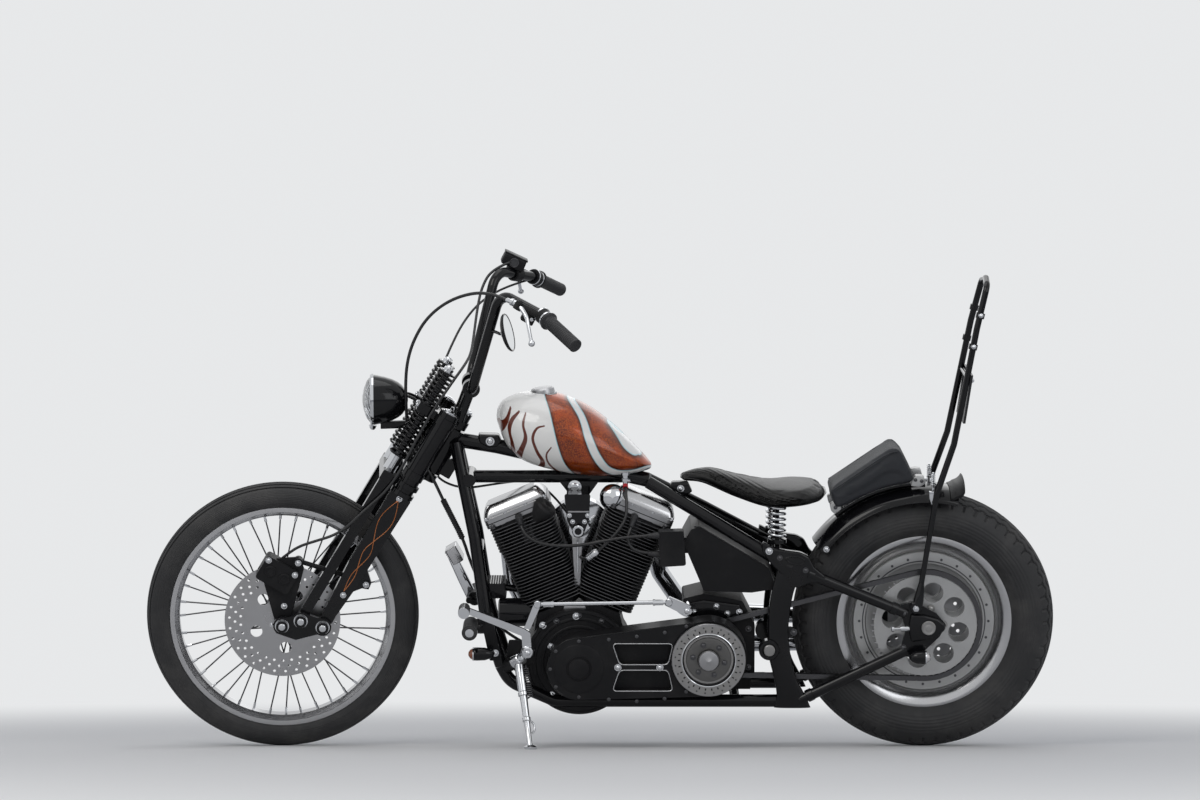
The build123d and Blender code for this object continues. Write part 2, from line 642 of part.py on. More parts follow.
# Front wheel, drawn about its own axle
with BuildPart() as front_tyre:
    add(tyre(front_tyre_ring, front_tyre_half, front_rim_radius + rim_seat))

spoke_count, spoke_across = 40, 5.0
hub_flange_y, hub_flange_radius = 34.0, 46.0
hub_left = front_disc_y - front_disc_wall / 2
front_rim_outline = [
    (-front_rim_half, front_rim_radius), (-26, front_rim_radius), (-23, 276), (23, 276), (26, front_rim_radius),
    (front_rim_half, front_rim_radius), (front_rim_half, 272), (16, 261), (-16, 261), (-front_rim_half, 272),
]
hub_outline = [
    (-54, hub_bore), (-54, 24), (-38, 28), (-38, hub_flange_radius + 4), (-30, hub_flange_radius + 4),
    (-26, 26), (26, 26), (30, hub_flange_radius + 4), (38, hub_flange_radius + 4), (38, 36),
    (hub_left, 36), (hub_left, hub_bore),
]
with BuildPart() as front_rim:
    add(wheel_ring(front_rim_outline))
    add(wheel_ring(hub_outline))
    for spoke in range(spoke_count):
        side = 1 if spoke % 2 else -1
        cross = 24 if spoke % 4 < 2 else -24
        at_rim = radians(360 / spoke_count * (spoke + 0.5))
        at_hub = at_rim + radians(cross)
        rod((hub_flange_radius * cos(at_hub), side * hub_flange_y, hub_flange_radius * sin(at_hub)),
            (266 * cos(at_rim), side * 7, 266 * sin(at_rim)), spoke_across)

with BuildPart() as front_disc:
    add(wheel_ring([(hub_left, hub_bore), (hub_left, front_disc_radius),
                    (hub_left + front_disc_wall, front_disc_radius), (hub_left + front_disc_wall, hub_bore)]))
    with BuildSketch(Plane.XZ):
        with PolarLocations(72, 5, 18):
            Circle(15)
        for ring_radius in (106, 120, 134):
            with PolarLocations(ring_radius, 30, ring_radius / 3):
                Circle(3.5)
    extrude(amount=-2 * front_disc_y, mode=Mode.SUBTRACT)

# Springer fork, in the fork's frame
leg_top_ring, leg_mid = -150.0, -186.0
torque_lug = Vector(leg_e - 40, 70, -428)
lug_across, lug_fit = 22.0, 0.3
with BuildPart() as fork_legs:
    for height, wall in ((tree_bottom, tree_wall), (neck_bottom - tree_gap - 20, 20)):
        with BuildSketch(Plane.XY.offset(height)):
            Circle(26)
            for side in (1, -1):
                with Locations((leg_e, side * leg_y)):
                    Circle(leg_across / 2 + 3)
            Polygon((0, 26), (leg_e, leg_y + 20), (leg_e + 24, leg_y), (leg_e + 24, -leg_y),
                    (leg_e, -leg_y - 20), (0, -26), align=None)
            if height > 0:
                Polygon((leg_e, 84), (spring_leg_e + 22, 84), (spring_leg_e + 22, -84), (leg_e, -84), align=None)
        extrude(amount=wall)
    rod((0, 0, neck_bottom - tree_gap - 20), (0, 0, neck_bottom), 36)
    rod((0, 0, tree_top), (0, 0, tree_top + 22), 44)
    rod((0, 0, neck_top), (0, 0, tree_bottom), 36)
    for side in (1, -1):
        y = side * leg_y
        rod((leg_e, y, leg_mid), (leg_e, y, tree_top + 14), leg_across)
        for height in (leg_top_ring, leg_top_ring - 24):
            rod((leg_e, y, height - 12), (leg_e, y, height), leg_across + 12)
        slab([(leg_e - leg_wide_top / 2, leg_mid), (leg_e + leg_wide_top / 2, leg_mid),
              (leg_e + leg_wide_top / 2 - 2, -400), (leg_e + leg_wide_foot / 2, leg_foot + 20),
              (leg_e + leg_wide_foot / 2, leg_foot - 14), (leg_e - leg_wide_foot / 2, leg_foot - 14),
              (leg_e - leg_wide_foot / 2, leg_foot + 40), (leg_e - leg_wide_top / 2 + 6, -440)],
             y - leg_wall / 2, y + leg_wall / 2, 5)
    slab([(leg_e - 20, -390), (leg_e - 50, -418), (leg_e - 52, -436), (leg_e - 36, -442), (leg_e - 14, -470)],
         leg_y - 10, leg_y + 10)
    rod((torque_lug.X, 56, torque_lug.Z), (torque_lug.X, leg_y + 14, torque_lug.Z), lug_across)

with BuildPart() as spring_legs:
    for side in (1, -1):
        y = side * leg_y
        slab([(spring_leg_e - 13, -172), (spring_leg_e + 13, -172), (spring_leg_e + 13, spring_leg_foot - 13),
              (spring_leg_e - 13, spring_leg_foot - 13)], y - 11, y + 11, 5)
        rod((spring_leg_e, side * spring_y, -150), (spring_leg_e, side * spring_y, -106), 30)
    slab([(spring_leg_e - 15, -176), (spring_leg_e + 15, -176), (spring_leg_e + 15, -148),
          (spring_leg_e - 15, -148)], -leg_y - 13, leg_y + 13, 4)

with BuildPart() as fork_springs:
    for side in (1, -1):
        for low, high in ((-106, tree_bottom), (tree_top, tree_top + 96)):
            rod((spring_leg_e, side * spring_y, low), (spring_leg_e, side * spring_y, high), 20)
            height = low + 3
            while height + spring_wire < high:
                rod((spring_leg_e, side * spring_y, height),
                    (spring_leg_e, side * spring_y, height + spring_wire), 2 * spring_radius)
                height += spring_pitch
        rod((spring_leg_e, side * spring_y, tree_top + 96), (spring_leg_e, side * spring_y, tree_top + 114), 24)

axle_in_fork = (fork_offset, -fork_drop)
with BuildPart() as fork_rockers:
    for side in (1, -1):
        near, far = side * (rocker_y - 0.3), side * (rocker_y + rocker_wall)
        joints = ((leg_e, leg_foot), (spring_leg_e, spring_leg_foot), axle_in_fork)
        slab([(leg_e - 20, leg_foot - 4), (leg_e + 2, leg_foot + 20), (spring_leg_e, spring_leg_foot + 21),
              (fork_offset + 20, -fork_drop + 8), (fork_offset + 6, -fork_drop - 24),
              (spring_leg_e - 14, -fork_drop - 14), (leg_e + 6, leg_foot - 26)], near, far, 6)
        for e, s in joints:
            drum(e, s, near, far, 22)
            drum(e, s, far, side * (rocker_y + rocker_wall + 12), 15)
    drum(*axle_in_fork, -rocker_y, rocker_y, axle_radius)
    drum(*axle_in_fork, -rocker_y, -56, 20)
    drum(*axle_in_fork, front_disc_y + 14, rocker_y, 20)

caliper_e, caliper_s = fork_offset + 74, -fork_drop + 106
torque_boss = Vector(caliper_e - 30, 70, caliper_s + 50)
with BuildPart() as front_caliper:
    slab([(caliper_e - 46, caliper_s - 36), (caliper_e + 46, caliper_s - 36), (caliper_e + 46, caliper_s + 30),
          (caliper_e - 46, caliper_s + 30)], 44, 97, 8)
    drum(*axle_in_fork, front_disc_y - disc_slot / 2, front_disc_y + disc_slot / 2, front_disc_radius + 5,
         Mode.SUBTRACT)
    slab([(fork_offset - 18, -fork_drop + 2), (fork_offset + 18, -fork_drop - 6),
          (caliper_e + 38, caliper_s - 20), (caliper_e + 38, caliper_s + 20), (caliper_e - 24, caliper_s + 62),
          (caliper_e - 50, caliper_s + 44)], 77, 85)
    add(fork_rockers.part, mode=Mode.SUBTRACT)
    torque_way = (torque_lug - torque_boss).normalized()
    rod((torque_boss.X, 62, torque_boss.Z), (torque_boss.X, 93, torque_boss.Z), 24)
    rod(tuple(torque_boss), tuple(torque_lug - torque_way * (lug_across / 2 + lug_fit)), 12)

bar_low = (22, 0, 130)
bar_route = [(22, 92, 130), (97, 166, 392), (-6, 282, 412), (-99, 400, 404)]
with BuildPart() as handlebar:
    tube([bar_low] + bar_route, 46, bar_across)
    tube([bar_low] + [(e, -y, s) for e, y, s in bar_route], 46, bar_across)
    for side in (1, -1):
        rod((6, side * 42, tree_top - 1), (22, side * 42, 130), 26)
        rod((22, side * 42 - 14, 130), (22, side * 42 + 14, 130), 44)
    add(fork_legs.part, mode=Mode.SUBTRACT)

grip_length, grip_flange, clamp_across, clamp_length = 118.0, 46.0, 40.0, 36.0
lever_pivot, lever_elbow, lever_tip = (56, 286, 405), (26, 309, 392), (-8, 373, 352)
lever_across, lever_ball = 11.0, 8.5
grip_start, grip_end = Vector(*bar_route[2]), Vector(*bar_route[3])
grip_way = (grip_end - grip_start).normalized()
grip_near = grip_end - grip_way * grip_length
with BuildPart() as hand_controls:
    for side in (1, -1):
        near, end, way, pivot, elbow, tip = [
            Vector(v.X, v.Y * side, v.Z) for v in
            (grip_near, grip_end, grip_way, Vector(*lever_pivot), Vector(*lever_elbow), Vector(*lever_tip))]
        rod(tuple(near), tuple(end + way * 3), grip_across)
        rod(tuple(near - way * 6), tuple(near), grip_flange)
        rod(tuple(near - way * clamp_length), tuple(near - way * 5), clamp_across)
        rod(tuple(near - way * clamp_length / 2), tuple(pivot), 18)
        tube([tuple(pivot), tuple(elbow), tuple(tip)], 50, lever_across)
        with Locations(tuple(tip)):
            Sphere(lever_ball)
    slab([(0, 374), (34, 374), (36, 402), (2, 404)], 252, 276, 4)
    slab([(32, 414), (94, 410), (96, 444), (36, 450)], -252, -206, 4)
    rod((47, -222, 401.7), (33, -238, 404.4), 38)
    add(handlebar.part, mode=Mode.SUBTRACT)

mirror_middle, mirror_facing = Vector(31, 193, 322), Vector(-0.673, 0.214, 0.703)
mirror_radius, mirror_wall, mirror_stem_across = 48.0, 8.0, 8.0
mirror_stem_foot = (69, 139, 294)
with BuildPart() as mirror:
    with BuildSketch(Plane(origin=mirror_middle, z_dir=mirror_facing)):
        Circle(mirror_radius)
    extrude(amount=-mirror_wall)
    with BuildSketch(Plane(origin=mirror_middle - mirror_facing * (mirror_wall - 1), z_dir=mirror_facing)):
        Circle(mirror_radius - 10)
    extrude(amount=-mirror_wall, taper=40)
    rod(tuple(mirror_middle - mirror_facing * (mirror_wall + 4)), mirror_stem_foot, mirror_stem_across)
    add(handlebar.part, mode=Mode.SUBTRACT)

lamp_e, lamp_s = fork_point(1364, 900)
lamp_level = Location((lamp_e, 0, lamp_s), (0, rake, 0))
with BuildPart() as lamp_shell:
    with BuildSketch(Plane.XZ):
        with BuildLine():
            Polyline((-58, 0), (58, 0))
            ThreePointArc((58, 0), (52, 34), (38, 58))
            Polyline((38, 58), (36, lamp_radius), (26, lamp_radius), (22, lamp_radius - 4))
            ThreePointArc((22, lamp_radius - 4), (-34, 44), (-58, 0))
        make_face()
    revolve(axis=Axis.X)
lamp_bracket = [fork_point(*point) for point in
                ((1268, 888), (1284, 894), (1304, 846), (1376, 844), (1376, 826), (1290, 828))]
with BuildPart() as headlamp:
    slab(lamp_bracket, -9, 9)
    add(lamp_shell.part.moved(lamp_level))
    add(fork_legs.part, mode=Mode.SUBTRACT)

# Cords on the fork, in its frame as it stands at rest
clutch_cable_route = [
    (60, 282, 404), (88, 256, 397), (120, 226, 388), (158, 190, 362), (196, 150, 308), (216, 112, 240),
    (213, 84, 170), (196, 60, 108), (166, 48, 50), (130, 27, -6), (96, 16, -60), (52, 32, -94),
    (8, 48, -104), (-28, 44, -128), (-66, 30, -156), (-112, 28, -186), (-162, 35, -218), (-205, 27, -258),
    (-250, 16, -292), (-290, 7, -331), (-337, 2, -366), (-394, 1, -381), (-450, 6, -378),
]
throttle_cable_route = [
    (2, -288, 396), (30, -262, 372), (64, -226, 336), (92, -184, 292), (104, -150, 234), (102, -124, 174),
    (95, -106, 112), (88, -98, 48), (76, -88, -8), (65, -68, -40), (40, -50, -74), (8, -40, -98),
    (-26, -32, -121), (-52, -28, -125), (-83, -14, -117), (-112, -8, -102), (-142, -9, -78), (-175, -33, -58),
    (-210, -62, -39), (-246, -78, -20), (-291, -83, -19), (-334, -80, -30), (-367, -76, -43), (-396, -74, -56),
]
brake_hose_route = [
    (216, 77, -487), (207, 86, -458), (193, 94, -427), (166, 102, -394), (137, 109, -360), (119, 112, -326),
    (109, 114, -290), (98, 114, -250), (84, 114, -208), (76, 112, -160), (76, 109, -104), (80, 105, -44),
    (82, 102, 20), (80, 100, 84), (74, 84, 142), (66, 46, 180), (62, -6, 200), (72, -62, 232),
    (94, -112, 288), (110, -150, 340), (106, -188, 388), (72, -208, 426),
]
with BuildPart() as clutch_cable:
    cord("clutch_cable", clutch_cable_route, clutch_cable_across)
    add(hand_controls.part, mode=Mode.SUBTRACT)
    add(crankcase.part.moved(fork_at_rest.inverse()), mode=Mode.SUBTRACT)
with BuildPart() as throttle_cable:
    cord("throttle_cable", throttle_cable_route, throttle_cable_across)
    add(hand_controls.part, mode=Mode.SUBTRACT)
    add(air_cleaner.part.moved(fork_at_rest.inverse()), mode=Mode.SUBTRACT)
with BuildPart() as front_brake_hose:
    cord("front_brake_hose", brake_hose_route, brake_hose_across)
    add(front_caliper.part, mode=Mode.SUBTRACT)
    add(hand_controls.part, mode=Mode.SUBTRACT)

# Cords on the engine, in the upright machine's frame
front_plug_route = [
    (1026, 79, 606), (1021, 100, 594), (1008, 112, 570), (975, 117, 552), (925, 118, 545), (870, 118.5, 547),
    (808, 120, 560), (742, 122, 571), (674, 116, 572),
]
rear_plug_route = [
    (736, 79, 604), (745, 98, 588), (754, 106, 562), (745, 107, 538), (716, 106, 525), (670, 104, 522),
]
fuel_line_route = [
    (758, 50, 688), (757, 70, 671), (754, 88, 642), (758, 99, 608), (780, 105, 576), (808, 104, 546),
    (838, 97, 518), (862, 82, 502), (874, 55, 506), (875, 20, 522), (873, -18, 536), (875, -50, 544),
    (876, -77, 549),
]
with BuildPart() as front_plug_lead:
    cord("front_plug_lead", front_plug_route, plug_lead_across)
    add(cylinders.part, mode=Mode.SUBTRACT)
    add(coil_box.part, mode=Mode.SUBTRACT)
with BuildPart() as rear_plug_lead:
    cord("rear_plug_lead", rear_plug_route, plug_lead_across)
    add(cylinders.part, mode=Mode.SUBTRACT)
    add(coil_box.part, mode=Mode.SUBTRACT)
with BuildPart() as fuel_line:
    cord("fuel_line", fuel_line_route, fuel_line_across)
    add(fuel_tank.part, mode=Mode.SUBTRACT)
    add(air_cleaner.part, mode=Mode.SUBTRACT)

# Side stand, down on the floor
with BuildPart() as side_stand:
    rod(tuple(stand_pivot), tuple(foot_under + floor_up * 2), stand_across)
    with BuildSketch(Plane(origin=tuple(foot_under), z_dir=tuple(floor_up))):
        Circle(stand_foot_radius)
    extrude(amount=stand_foot_wall)
    rod(tuple(stand_pivot - stand_axis * (stand_boss_half + 4)), tuple(stand_pivot + stand_axis * stand_boss_half),
        2 * stand_boss_radius)
    with BuildSketch(Plane(origin=tuple(foot_under), z_dir=tuple(floor_up))):
        Rectangle(200, 200)
    extrude(amount=-60, mode=Mode.SUBTRACT)
    add(foot_controls.part, mode=Mode.SUBTRACT)

# How each body's own frame lies on the leaning machine
lean_over = Location((0, 0, 0), (-lean, 0, 0))
place_fork = lean_over * fork_at_rest
place_front_wheel = place_fork * Location((fork_offset, 0, -fork_drop))
place_rear_wheel = lean_over * Location((0, 0, rear_axle_z))

bodies = (
    ("root", lean_over, dict(
        frame_head=frame_head, frame_backbone=frame_backbone, frame_downtubes=frame_downtubes,
        frame_rails=frame_rails, frame_seat_rails=frame_seat_rails, frame_side_plates=frame_side_plates,
        frame_lower_stays=frame_lower_stays, frame_upper_stays=frame_upper_stays, crankcase=crankcase,
        cylinders=cylinders, rocker_boxes=rocker_boxes, engine_bracket=engine_bracket,
        pushrod_tubes=pushrod_tubes, air_cleaner=air_cleaner, exhaust_pipes=exhaust_pipes,
        primary_drive=primary_drive, clutch_drum=clutch_drum, gearbox=gearbox, drive_chain=drive_chain,
        gear_sprocket=gear_sprocket, oil_tank=oil_tank, coil_box=coil_box, fuel_tank=fuel_tank, saddle=saddle,
        saddle_mount=saddle_mount, rear_fender=rear_fender, pillion_pad=pillion_pad, sissy_bar=sissy_bar,
        number_plate=number_plate, shift_linkage=shift_linkage, foot_controls=foot_controls,
        indicators=indicators, engine_auxiliaries=engine_auxiliaries, rear_caliper=rear_caliper,
        front_plug_lead=front_plug_lead, rear_plug_lead=rear_plug_lead, fuel_line=fuel_line)),
    ("rear_wheel", place_rear_wheel, dict(
        rear_tyre=rear_tyre, rear_rim=rear_rim, rear_sprocket=rear_sprocket, rear_disc=rear_disc)),
    ("fork", place_fork, dict(
        fork_legs=fork_legs, spring_legs=spring_legs, fork_springs=fork_springs, fork_rockers=fork_rockers,
        front_caliper=front_caliper, handlebar=handlebar, hand_controls=hand_controls, mirror=mirror,
        headlamp=headlamp, clutch_cable=clutch_cable, throttle_cable=throttle_cable,
        front_brake_hose=front_brake_hose)),
    ("front_wheel", place_front_wheel, dict(
        front_tyre=front_tyre, front_rim=front_rim, front_disc=front_disc)),
    ("side_stand", lean_over, dict(side_stand=side_stand)),
)

# The origin is under the middle of the whole machine
placed = {name: piece.part.moved(place) for _, place, pieces in bodies for name, piece in pieces.items()}
reach = Compound(children=[piece.moved(Location()) for piece in placed.values()]).bounding_box()
to_origin = Location((-reach.center().X, -reach.center().Y, -reach.min.Z))

if __name__ == "__main__":
    for name, piece in placed.items():
        stored = piece.moved(to_origin)
        stored.label = name
        export_step(stored, f"parts/{name}.step")
    print("length", round(reach.size.X), "width", round(reach.size.Y), "height", round(reach.size.Z))
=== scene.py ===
import math

import bmesh
import bpy
import numpy as np
from mathutils import Matrix, Vector


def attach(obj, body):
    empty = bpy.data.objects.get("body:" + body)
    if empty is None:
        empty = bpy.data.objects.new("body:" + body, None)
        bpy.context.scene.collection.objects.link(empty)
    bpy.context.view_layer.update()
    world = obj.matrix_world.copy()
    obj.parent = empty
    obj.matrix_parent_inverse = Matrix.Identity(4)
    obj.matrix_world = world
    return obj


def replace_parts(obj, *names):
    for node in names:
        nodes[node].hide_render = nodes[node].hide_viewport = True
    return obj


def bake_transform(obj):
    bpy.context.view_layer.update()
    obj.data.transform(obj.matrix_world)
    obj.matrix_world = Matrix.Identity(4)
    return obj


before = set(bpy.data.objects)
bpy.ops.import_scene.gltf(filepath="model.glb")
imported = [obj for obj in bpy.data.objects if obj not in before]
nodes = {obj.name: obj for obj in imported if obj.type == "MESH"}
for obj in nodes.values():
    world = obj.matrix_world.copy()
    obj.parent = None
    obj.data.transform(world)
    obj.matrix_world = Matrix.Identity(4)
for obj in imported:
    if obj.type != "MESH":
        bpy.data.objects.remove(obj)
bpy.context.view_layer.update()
print("frame loaded:", len(nodes), "nodes")

# How the upright drawing, in millimetres, lies on the leaning machine
stance = {"lean": 12.5, "rake": 31.0, "neck": (1196.0, 0.0, 813.0), "steer": 3.75,
          "shift": (-0.8204, -0.23177, 0.0), "forkOffset": 130.0, "forkDrop": 623.42, "rearAxle": 333.53}
upright = (Matrix.Translation(stance["shift"]) @ Matrix.Rotation(math.radians(-stance["lean"]), 4, "X")
           @ Matrix.Scale(0.001, 4))
forkFrame = (
    upright @ Matrix.Translation(stance["neck"]) @ Matrix.Rotation(math.radians(-stance["rake"]), 4,
    "Y") @ Matrix.Rotation(math.radians(stance["steer"]), 4, "Z"))
frontAxle = forkFrame @ Matrix.Translation((stance["forkOffset"], 0, -stance["forkDrop"]))
rearAxle = upright @ Matrix.Translation((0, 0, stance["rearAxle"]))

# Where a shape sits: the frame that it is drawn in and the body that it rides
onFrame, onStand, onFork = (upright, "root"), (upright, "side_stand"), (forkFrame, "fork")
onFrontWheel, onRearWheel = (frontAxle, "front_wheel"), (rearAxle, "rear_wheel")
bothSides = ((1, "L"), (-1, "R"))


# Camera, floor and light

view = {"place": (0.0016, 9.268, 0.397), "pitch": 2.944, "lens": 110.8}
lens = bpy.data.cameras.new("camera")
lens.lens = view["lens"]
lens.sensor_width = 36
camera = bpy.data.objects.new("camera", lens)
camera.location = view["place"]
camera.rotation_euler = (math.radians(90 + view["pitch"]), 0, math.radians(180))
bpy.context.scene.collection.objects.link(camera)
bpy.context.scene.camera = camera
bpy.context.scene.view_settings.view_transform = "Standard"

lamps = {
    # name: (place, aim, size, power, colour)
    "keyLamp": ((2.2, 3.2, 3.6), (0, 0, 0.4), 2.4, 62, (1.0, 0.98, 0.95)),
    "fillLamp": ((-3.2, 3.6, 2.2), (-0.2, 0, 0.5), 2.6, 30, (0.95, 0.97, 1.0)),
    "rimLamp": ((-0.6, -3.4, 3.0), (0, 0, 0.6), 2.6, 16, (1.0, 1.0, 1.0)),
    "topLamp": ((0.2, 0.3, 4.0), (0, -0.1, 0.5), 2.2, 22, (1.0, 1.0, 1.0)),
}
for name, (place, aim, size, power, colour) in lamps.items():
    lamp = bpy.data.lights.new(name, "AREA")
    lamp.size = size
    lamp.energy = power
    lamp.color = colour
    lampObject = bpy.data.objects.new(name, lamp)
    lampObject.location = place
    lampObject.rotation_euler = (Vector(aim) - Vector(place)).to_track_quat("-Z", "Y").to_euler()
    bpy.context.scene.collection.objects.link(lampObject)


# Node helpers

def groupTree(name, inputs, outputs):
    tree = bpy.data.node_groups.new(name, "ShaderNodeTree")
    for label, kind, value in inputs:
        socket = tree.interface.new_socket(label, in_out="INPUT", socket_type=kind)
        socket.default_value = value
    for label, kind in outputs:
        tree.interface.new_socket(label, in_out="OUTPUT", socket_type=kind)
    return tree, tree.nodes.new("NodeGroupInput"), tree.nodes.new("NodeGroupOutput")


def mathNode(tree, operation, a, b=None, clamp=False):
    node = tree.nodes.new("ShaderNodeMath")
    node.operation = operation
    node.use_clamp = clamp
    for socket, value in zip(node.inputs, (a, b)):
        if value is None:
            continue
        if isinstance(value, (int, float)):
            socket.default_value = value
        else:
            tree.links.new(value, socket)
    return node.outputs[0]


# Sky: a soft light, and a plain pale backdrop where a ray sees, mirrors or passes straight to it
backdropColour = (0.80, 0.81, 0.82, 1)
world = bpy.data.worlds.new("studio")
bpy.context.scene.world = world
world.use_nodes = True
sky = world.node_tree
sky.nodes.clear()
skyOut = sky.nodes.new("ShaderNodeOutputWorld")
ambient = sky.nodes.new("ShaderNodeBackground")
ambient.inputs["Color"].default_value = (0.86, 0.9, 1.0, 1)
ambient.inputs["Strength"].default_value = 0.36
seen = sky.nodes.new("ShaderNodeBackground")
seen.inputs["Color"].default_value = backdropColour
rays = sky.nodes.new("ShaderNodeLightPath")
choose = sky.nodes.new("ShaderNodeMixShader")
direct = mathNode(sky, "MAXIMUM", rays.outputs["Is Camera Ray"], rays.outputs["Is Glossy Ray"])
sky.links.new(mathNode(sky, "MAXIMUM", direct, rays.outputs["Is Transmission Ray"]), choose.inputs[0])
sky.links.new(ambient.outputs[0], choose.inputs[1])
sky.links.new(seen.outputs[0], choose.inputs[2])
sky.links.new(choose.outputs[0], skyOut.inputs[0])


def noiseNode(tree, vector, scale, detail=4.0, rough=0.55):
    node = tree.nodes.new("ShaderNodeTexNoise")
    node.inputs["Detail"].default_value = detail
    node.inputs["Roughness"].default_value = rough
    tree.links.new(vector, node.inputs["Vector"])
    if isinstance(scale, (int, float)):
        node.inputs["Scale"].default_value = scale
    else:
        tree.links.new(scale, node.inputs["Scale"])
    return node.outputs["Fac"]


def mixColour(tree, factor, a, b):
    node = tree.nodes.new("ShaderNodeMix")
    node.data_type = "RGBA"
    for index, value in ((0, factor), (6, a), (7, b)):
        socket = node.inputs[index]
        if isinstance(value, (int, float)):
            socket.default_value = value
        elif isinstance(value, tuple):
            socket.default_value = value if len(value) == 4 else (*value, 1)
        else:
            tree.links.new(value, socket)
    return node.outputs[2]


def ramp(tree, value, low, high):
    node = tree.nodes.new("ShaderNodeMapRange")
    node.interpolation_type = "SMOOTHSTEP"
    tree.links.new(value, node.inputs["Value"])
    node.inputs["From Min"].default_value = low
    node.inputs["From Max"].default_value = high
    return node.outputs["Result"]


# Patchy film of dust or wear over a plain finish, with the grain of the surface
patina, patinaIn, patinaOut = groupTree(
    "surfacePatina",
    [("Colour", "NodeSocketColor", (0.5, 0.5, 0.5, 1)), ("Film", "NodeSocketColor", (0.3, 0.28, 0.25, 1)),
     ("Amount", "NodeSocketFloat", 0.1), ("Patch Scale", "NodeSocketFloat", 9.0),
     ("Roughness", "NodeSocketFloat", 0.3), ("Spread", "NodeSocketFloat", 0.1),
     ("Grain Scale", "NodeSocketFloat", 400.0)],
    [("Colour", "NodeSocketColor"), ("Roughness", "NodeSocketFloat"), ("Height", "NodeSocketFloat")])
where = patina.nodes.new("ShaderNodeTexCoord").outputs["Object"]
patches = noiseNode(patina, where, patinaIn.outputs["Patch Scale"], 6, 0.6)
specks = noiseNode(patina, where, patinaIn.outputs["Grain Scale"], 3, 0.5)
film = mathNode(patina, "MULTIPLY", ramp(patina, patches, 0.42, 0.72), patinaIn.outputs["Amount"], True)
patina.links.new(mixColour(patina, film, patinaIn.outputs["Colour"], patinaIn.outputs["Film"]),
                 patinaOut.inputs["Colour"])
spreadHalf = mathNode(patina, "MULTIPLY", mathNode(patina, "SUBTRACT", patches, 0.5),
    patinaIn.outputs["Spread"])
patina.links.new(mathNode(patina, "ADD", patinaIn.outputs["Roughness"], spreadHalf, True),
                 patinaOut.inputs["Roughness"])
patina.links.new(specks, patinaOut.inputs["Height"])


def newMaterial(name, settings):
    material = bpy.data.materials.new(name)
    material.use_nodes = True
    tree = material.node_tree
    tree.nodes.clear()
    out = tree.nodes.new("ShaderNodeOutputMaterial")
    surface = tree.nodes.new("ShaderNodeBsdfPrincipled")
    tree.links.new(surface.outputs[0], out.inputs[0])
    for label, value in settings.items():
        surface.inputs[label].default_value = value
    return material, tree, surface


def surfaceOf(tree):
    return next(n for n in tree.nodes if n.type == "BSDF_PRINCIPLED")


def addBump(tree, surface, height, strength, distance):
    bump = tree.nodes.new("ShaderNodeBump")
    bump.inputs["Strength"].default_value = strength
    bump.inputs["Distance"].default_value = distance
    tree.links.new(height, bump.inputs["Height"])
    tree.links.new(bump.outputs[0], surface.inputs["Normal"])


def finish(name, colour, roughness, metallic=0.0, coat=0.0, filmColour=(0.10, 0.095, 0.09), amount=0.06,
           patch=9.0, spread=0.1, grain=500.0, bump=0.1, depth=0.0002, shine=0.5, colourNode=None):
    settings = {
        "Metallic": metallic, "Coat Weight": coat, "Coat Roughness": 0.04, "Specular IOR Level": shine}
    material, tree, surface = newMaterial(name, settings)
    layer = tree.nodes.new("ShaderNodeGroup")
    layer.node_tree = patina
    values = {"Colour": (*colour, 1), "Film": (*filmColour, 1), "Amount": amount, "Patch Scale": patch,
              "Roughness": roughness, "Spread": spread, "Grain Scale": grain}
    for label, value in values.items():
        layer.inputs[label].default_value = value
    if colourNode:
        tree.links.new(colourNode(tree), layer.inputs["Colour"])
    tree.links.new(layer.outputs["Colour"], surface.inputs["Base Color"])
    tree.links.new(layer.outputs["Roughness"], surface.inputs["Roughness"])
    addBump(tree, surface, layer.outputs["Height"], bump, depth)
    return material


glossBlack = finish("glossBlack", (0.005, 0.005, 0.006), 0.12, coat=0.18, amount=0.04, grain=180, bump=0.03,
    shine=0.2)
satinBlack = finish("satinBlack", (0.010, 0.010, 0.011), 0.42, amount=0.10, grain=900, bump=0.25, shine=0.16)
castBlack = finish("castBlack", (0.011, 0.011, 0.012), 0.5, amount=0.14, grain=1400, bump=0.5, depth=0.0004,
    shine=0.16)
chrome = finish("chrome", (0.62, 0.63, 0.65), 0.07, metallic=1, amount=0.06, spread=0.06, bump=0.02)
satinAluminium = finish("satinAluminium", (0.36, 0.36, 0.37), 0.34, metallic=1, amount=0.10, spread=0.16,
                        grain=1600, bump=0.25)
polishedAluminium = finish("polishedAluminium", (0.50, 0.50, 0.51), 0.2, metallic=1, amount=0.08,
    spread=0.12, bump=0.06)
machinedGrey = finish("machinedGrey", (0.33, 0.325, 0.32), 0.38, metallic=1, amount=0.2, spread=0.2,
    bump=0.15, filmColour=(0.12, 0.11, 0.10))
drilledSteel = finish("drilledSteel", (0.42, 0.42, 0.43), 0.3, metallic=1, amount=0.15, spread=0.2,
                      filmColour=(0.2, 0.18, 0.16))
silverPaint = finish("silverPaint", (0.46, 0.46, 0.455), 0.35, metallic=0.6, amount=0.12, grain=1200,
    bump=0.15)
mattRubber = finish("mattRubber", (0.014, 0.014, 0.015), 0.62, amount=0.3, grain=900, bump=0.3)
softRubber = finish("softRubber", (0.026, 0.026, 0.028), 0.5, amount=0.1, grain=700, bump=0.06, shine=0.3)
sheathBlack = finish("sheathBlack", (0.012, 0.012, 0.013), 0.4, amount=0.1, grain=900, bump=0.1)
darkSteel = finish("darkSteel", (0.10, 0.10, 0.105), 0.3, metallic=1, amount=0.2,
    filmColour=(0.06, 0.05, 0.05))
plateBlack = finish("plateBlack", (0.02, 0.02, 0.022), 0.35, amount=0.1, shine=0.25)


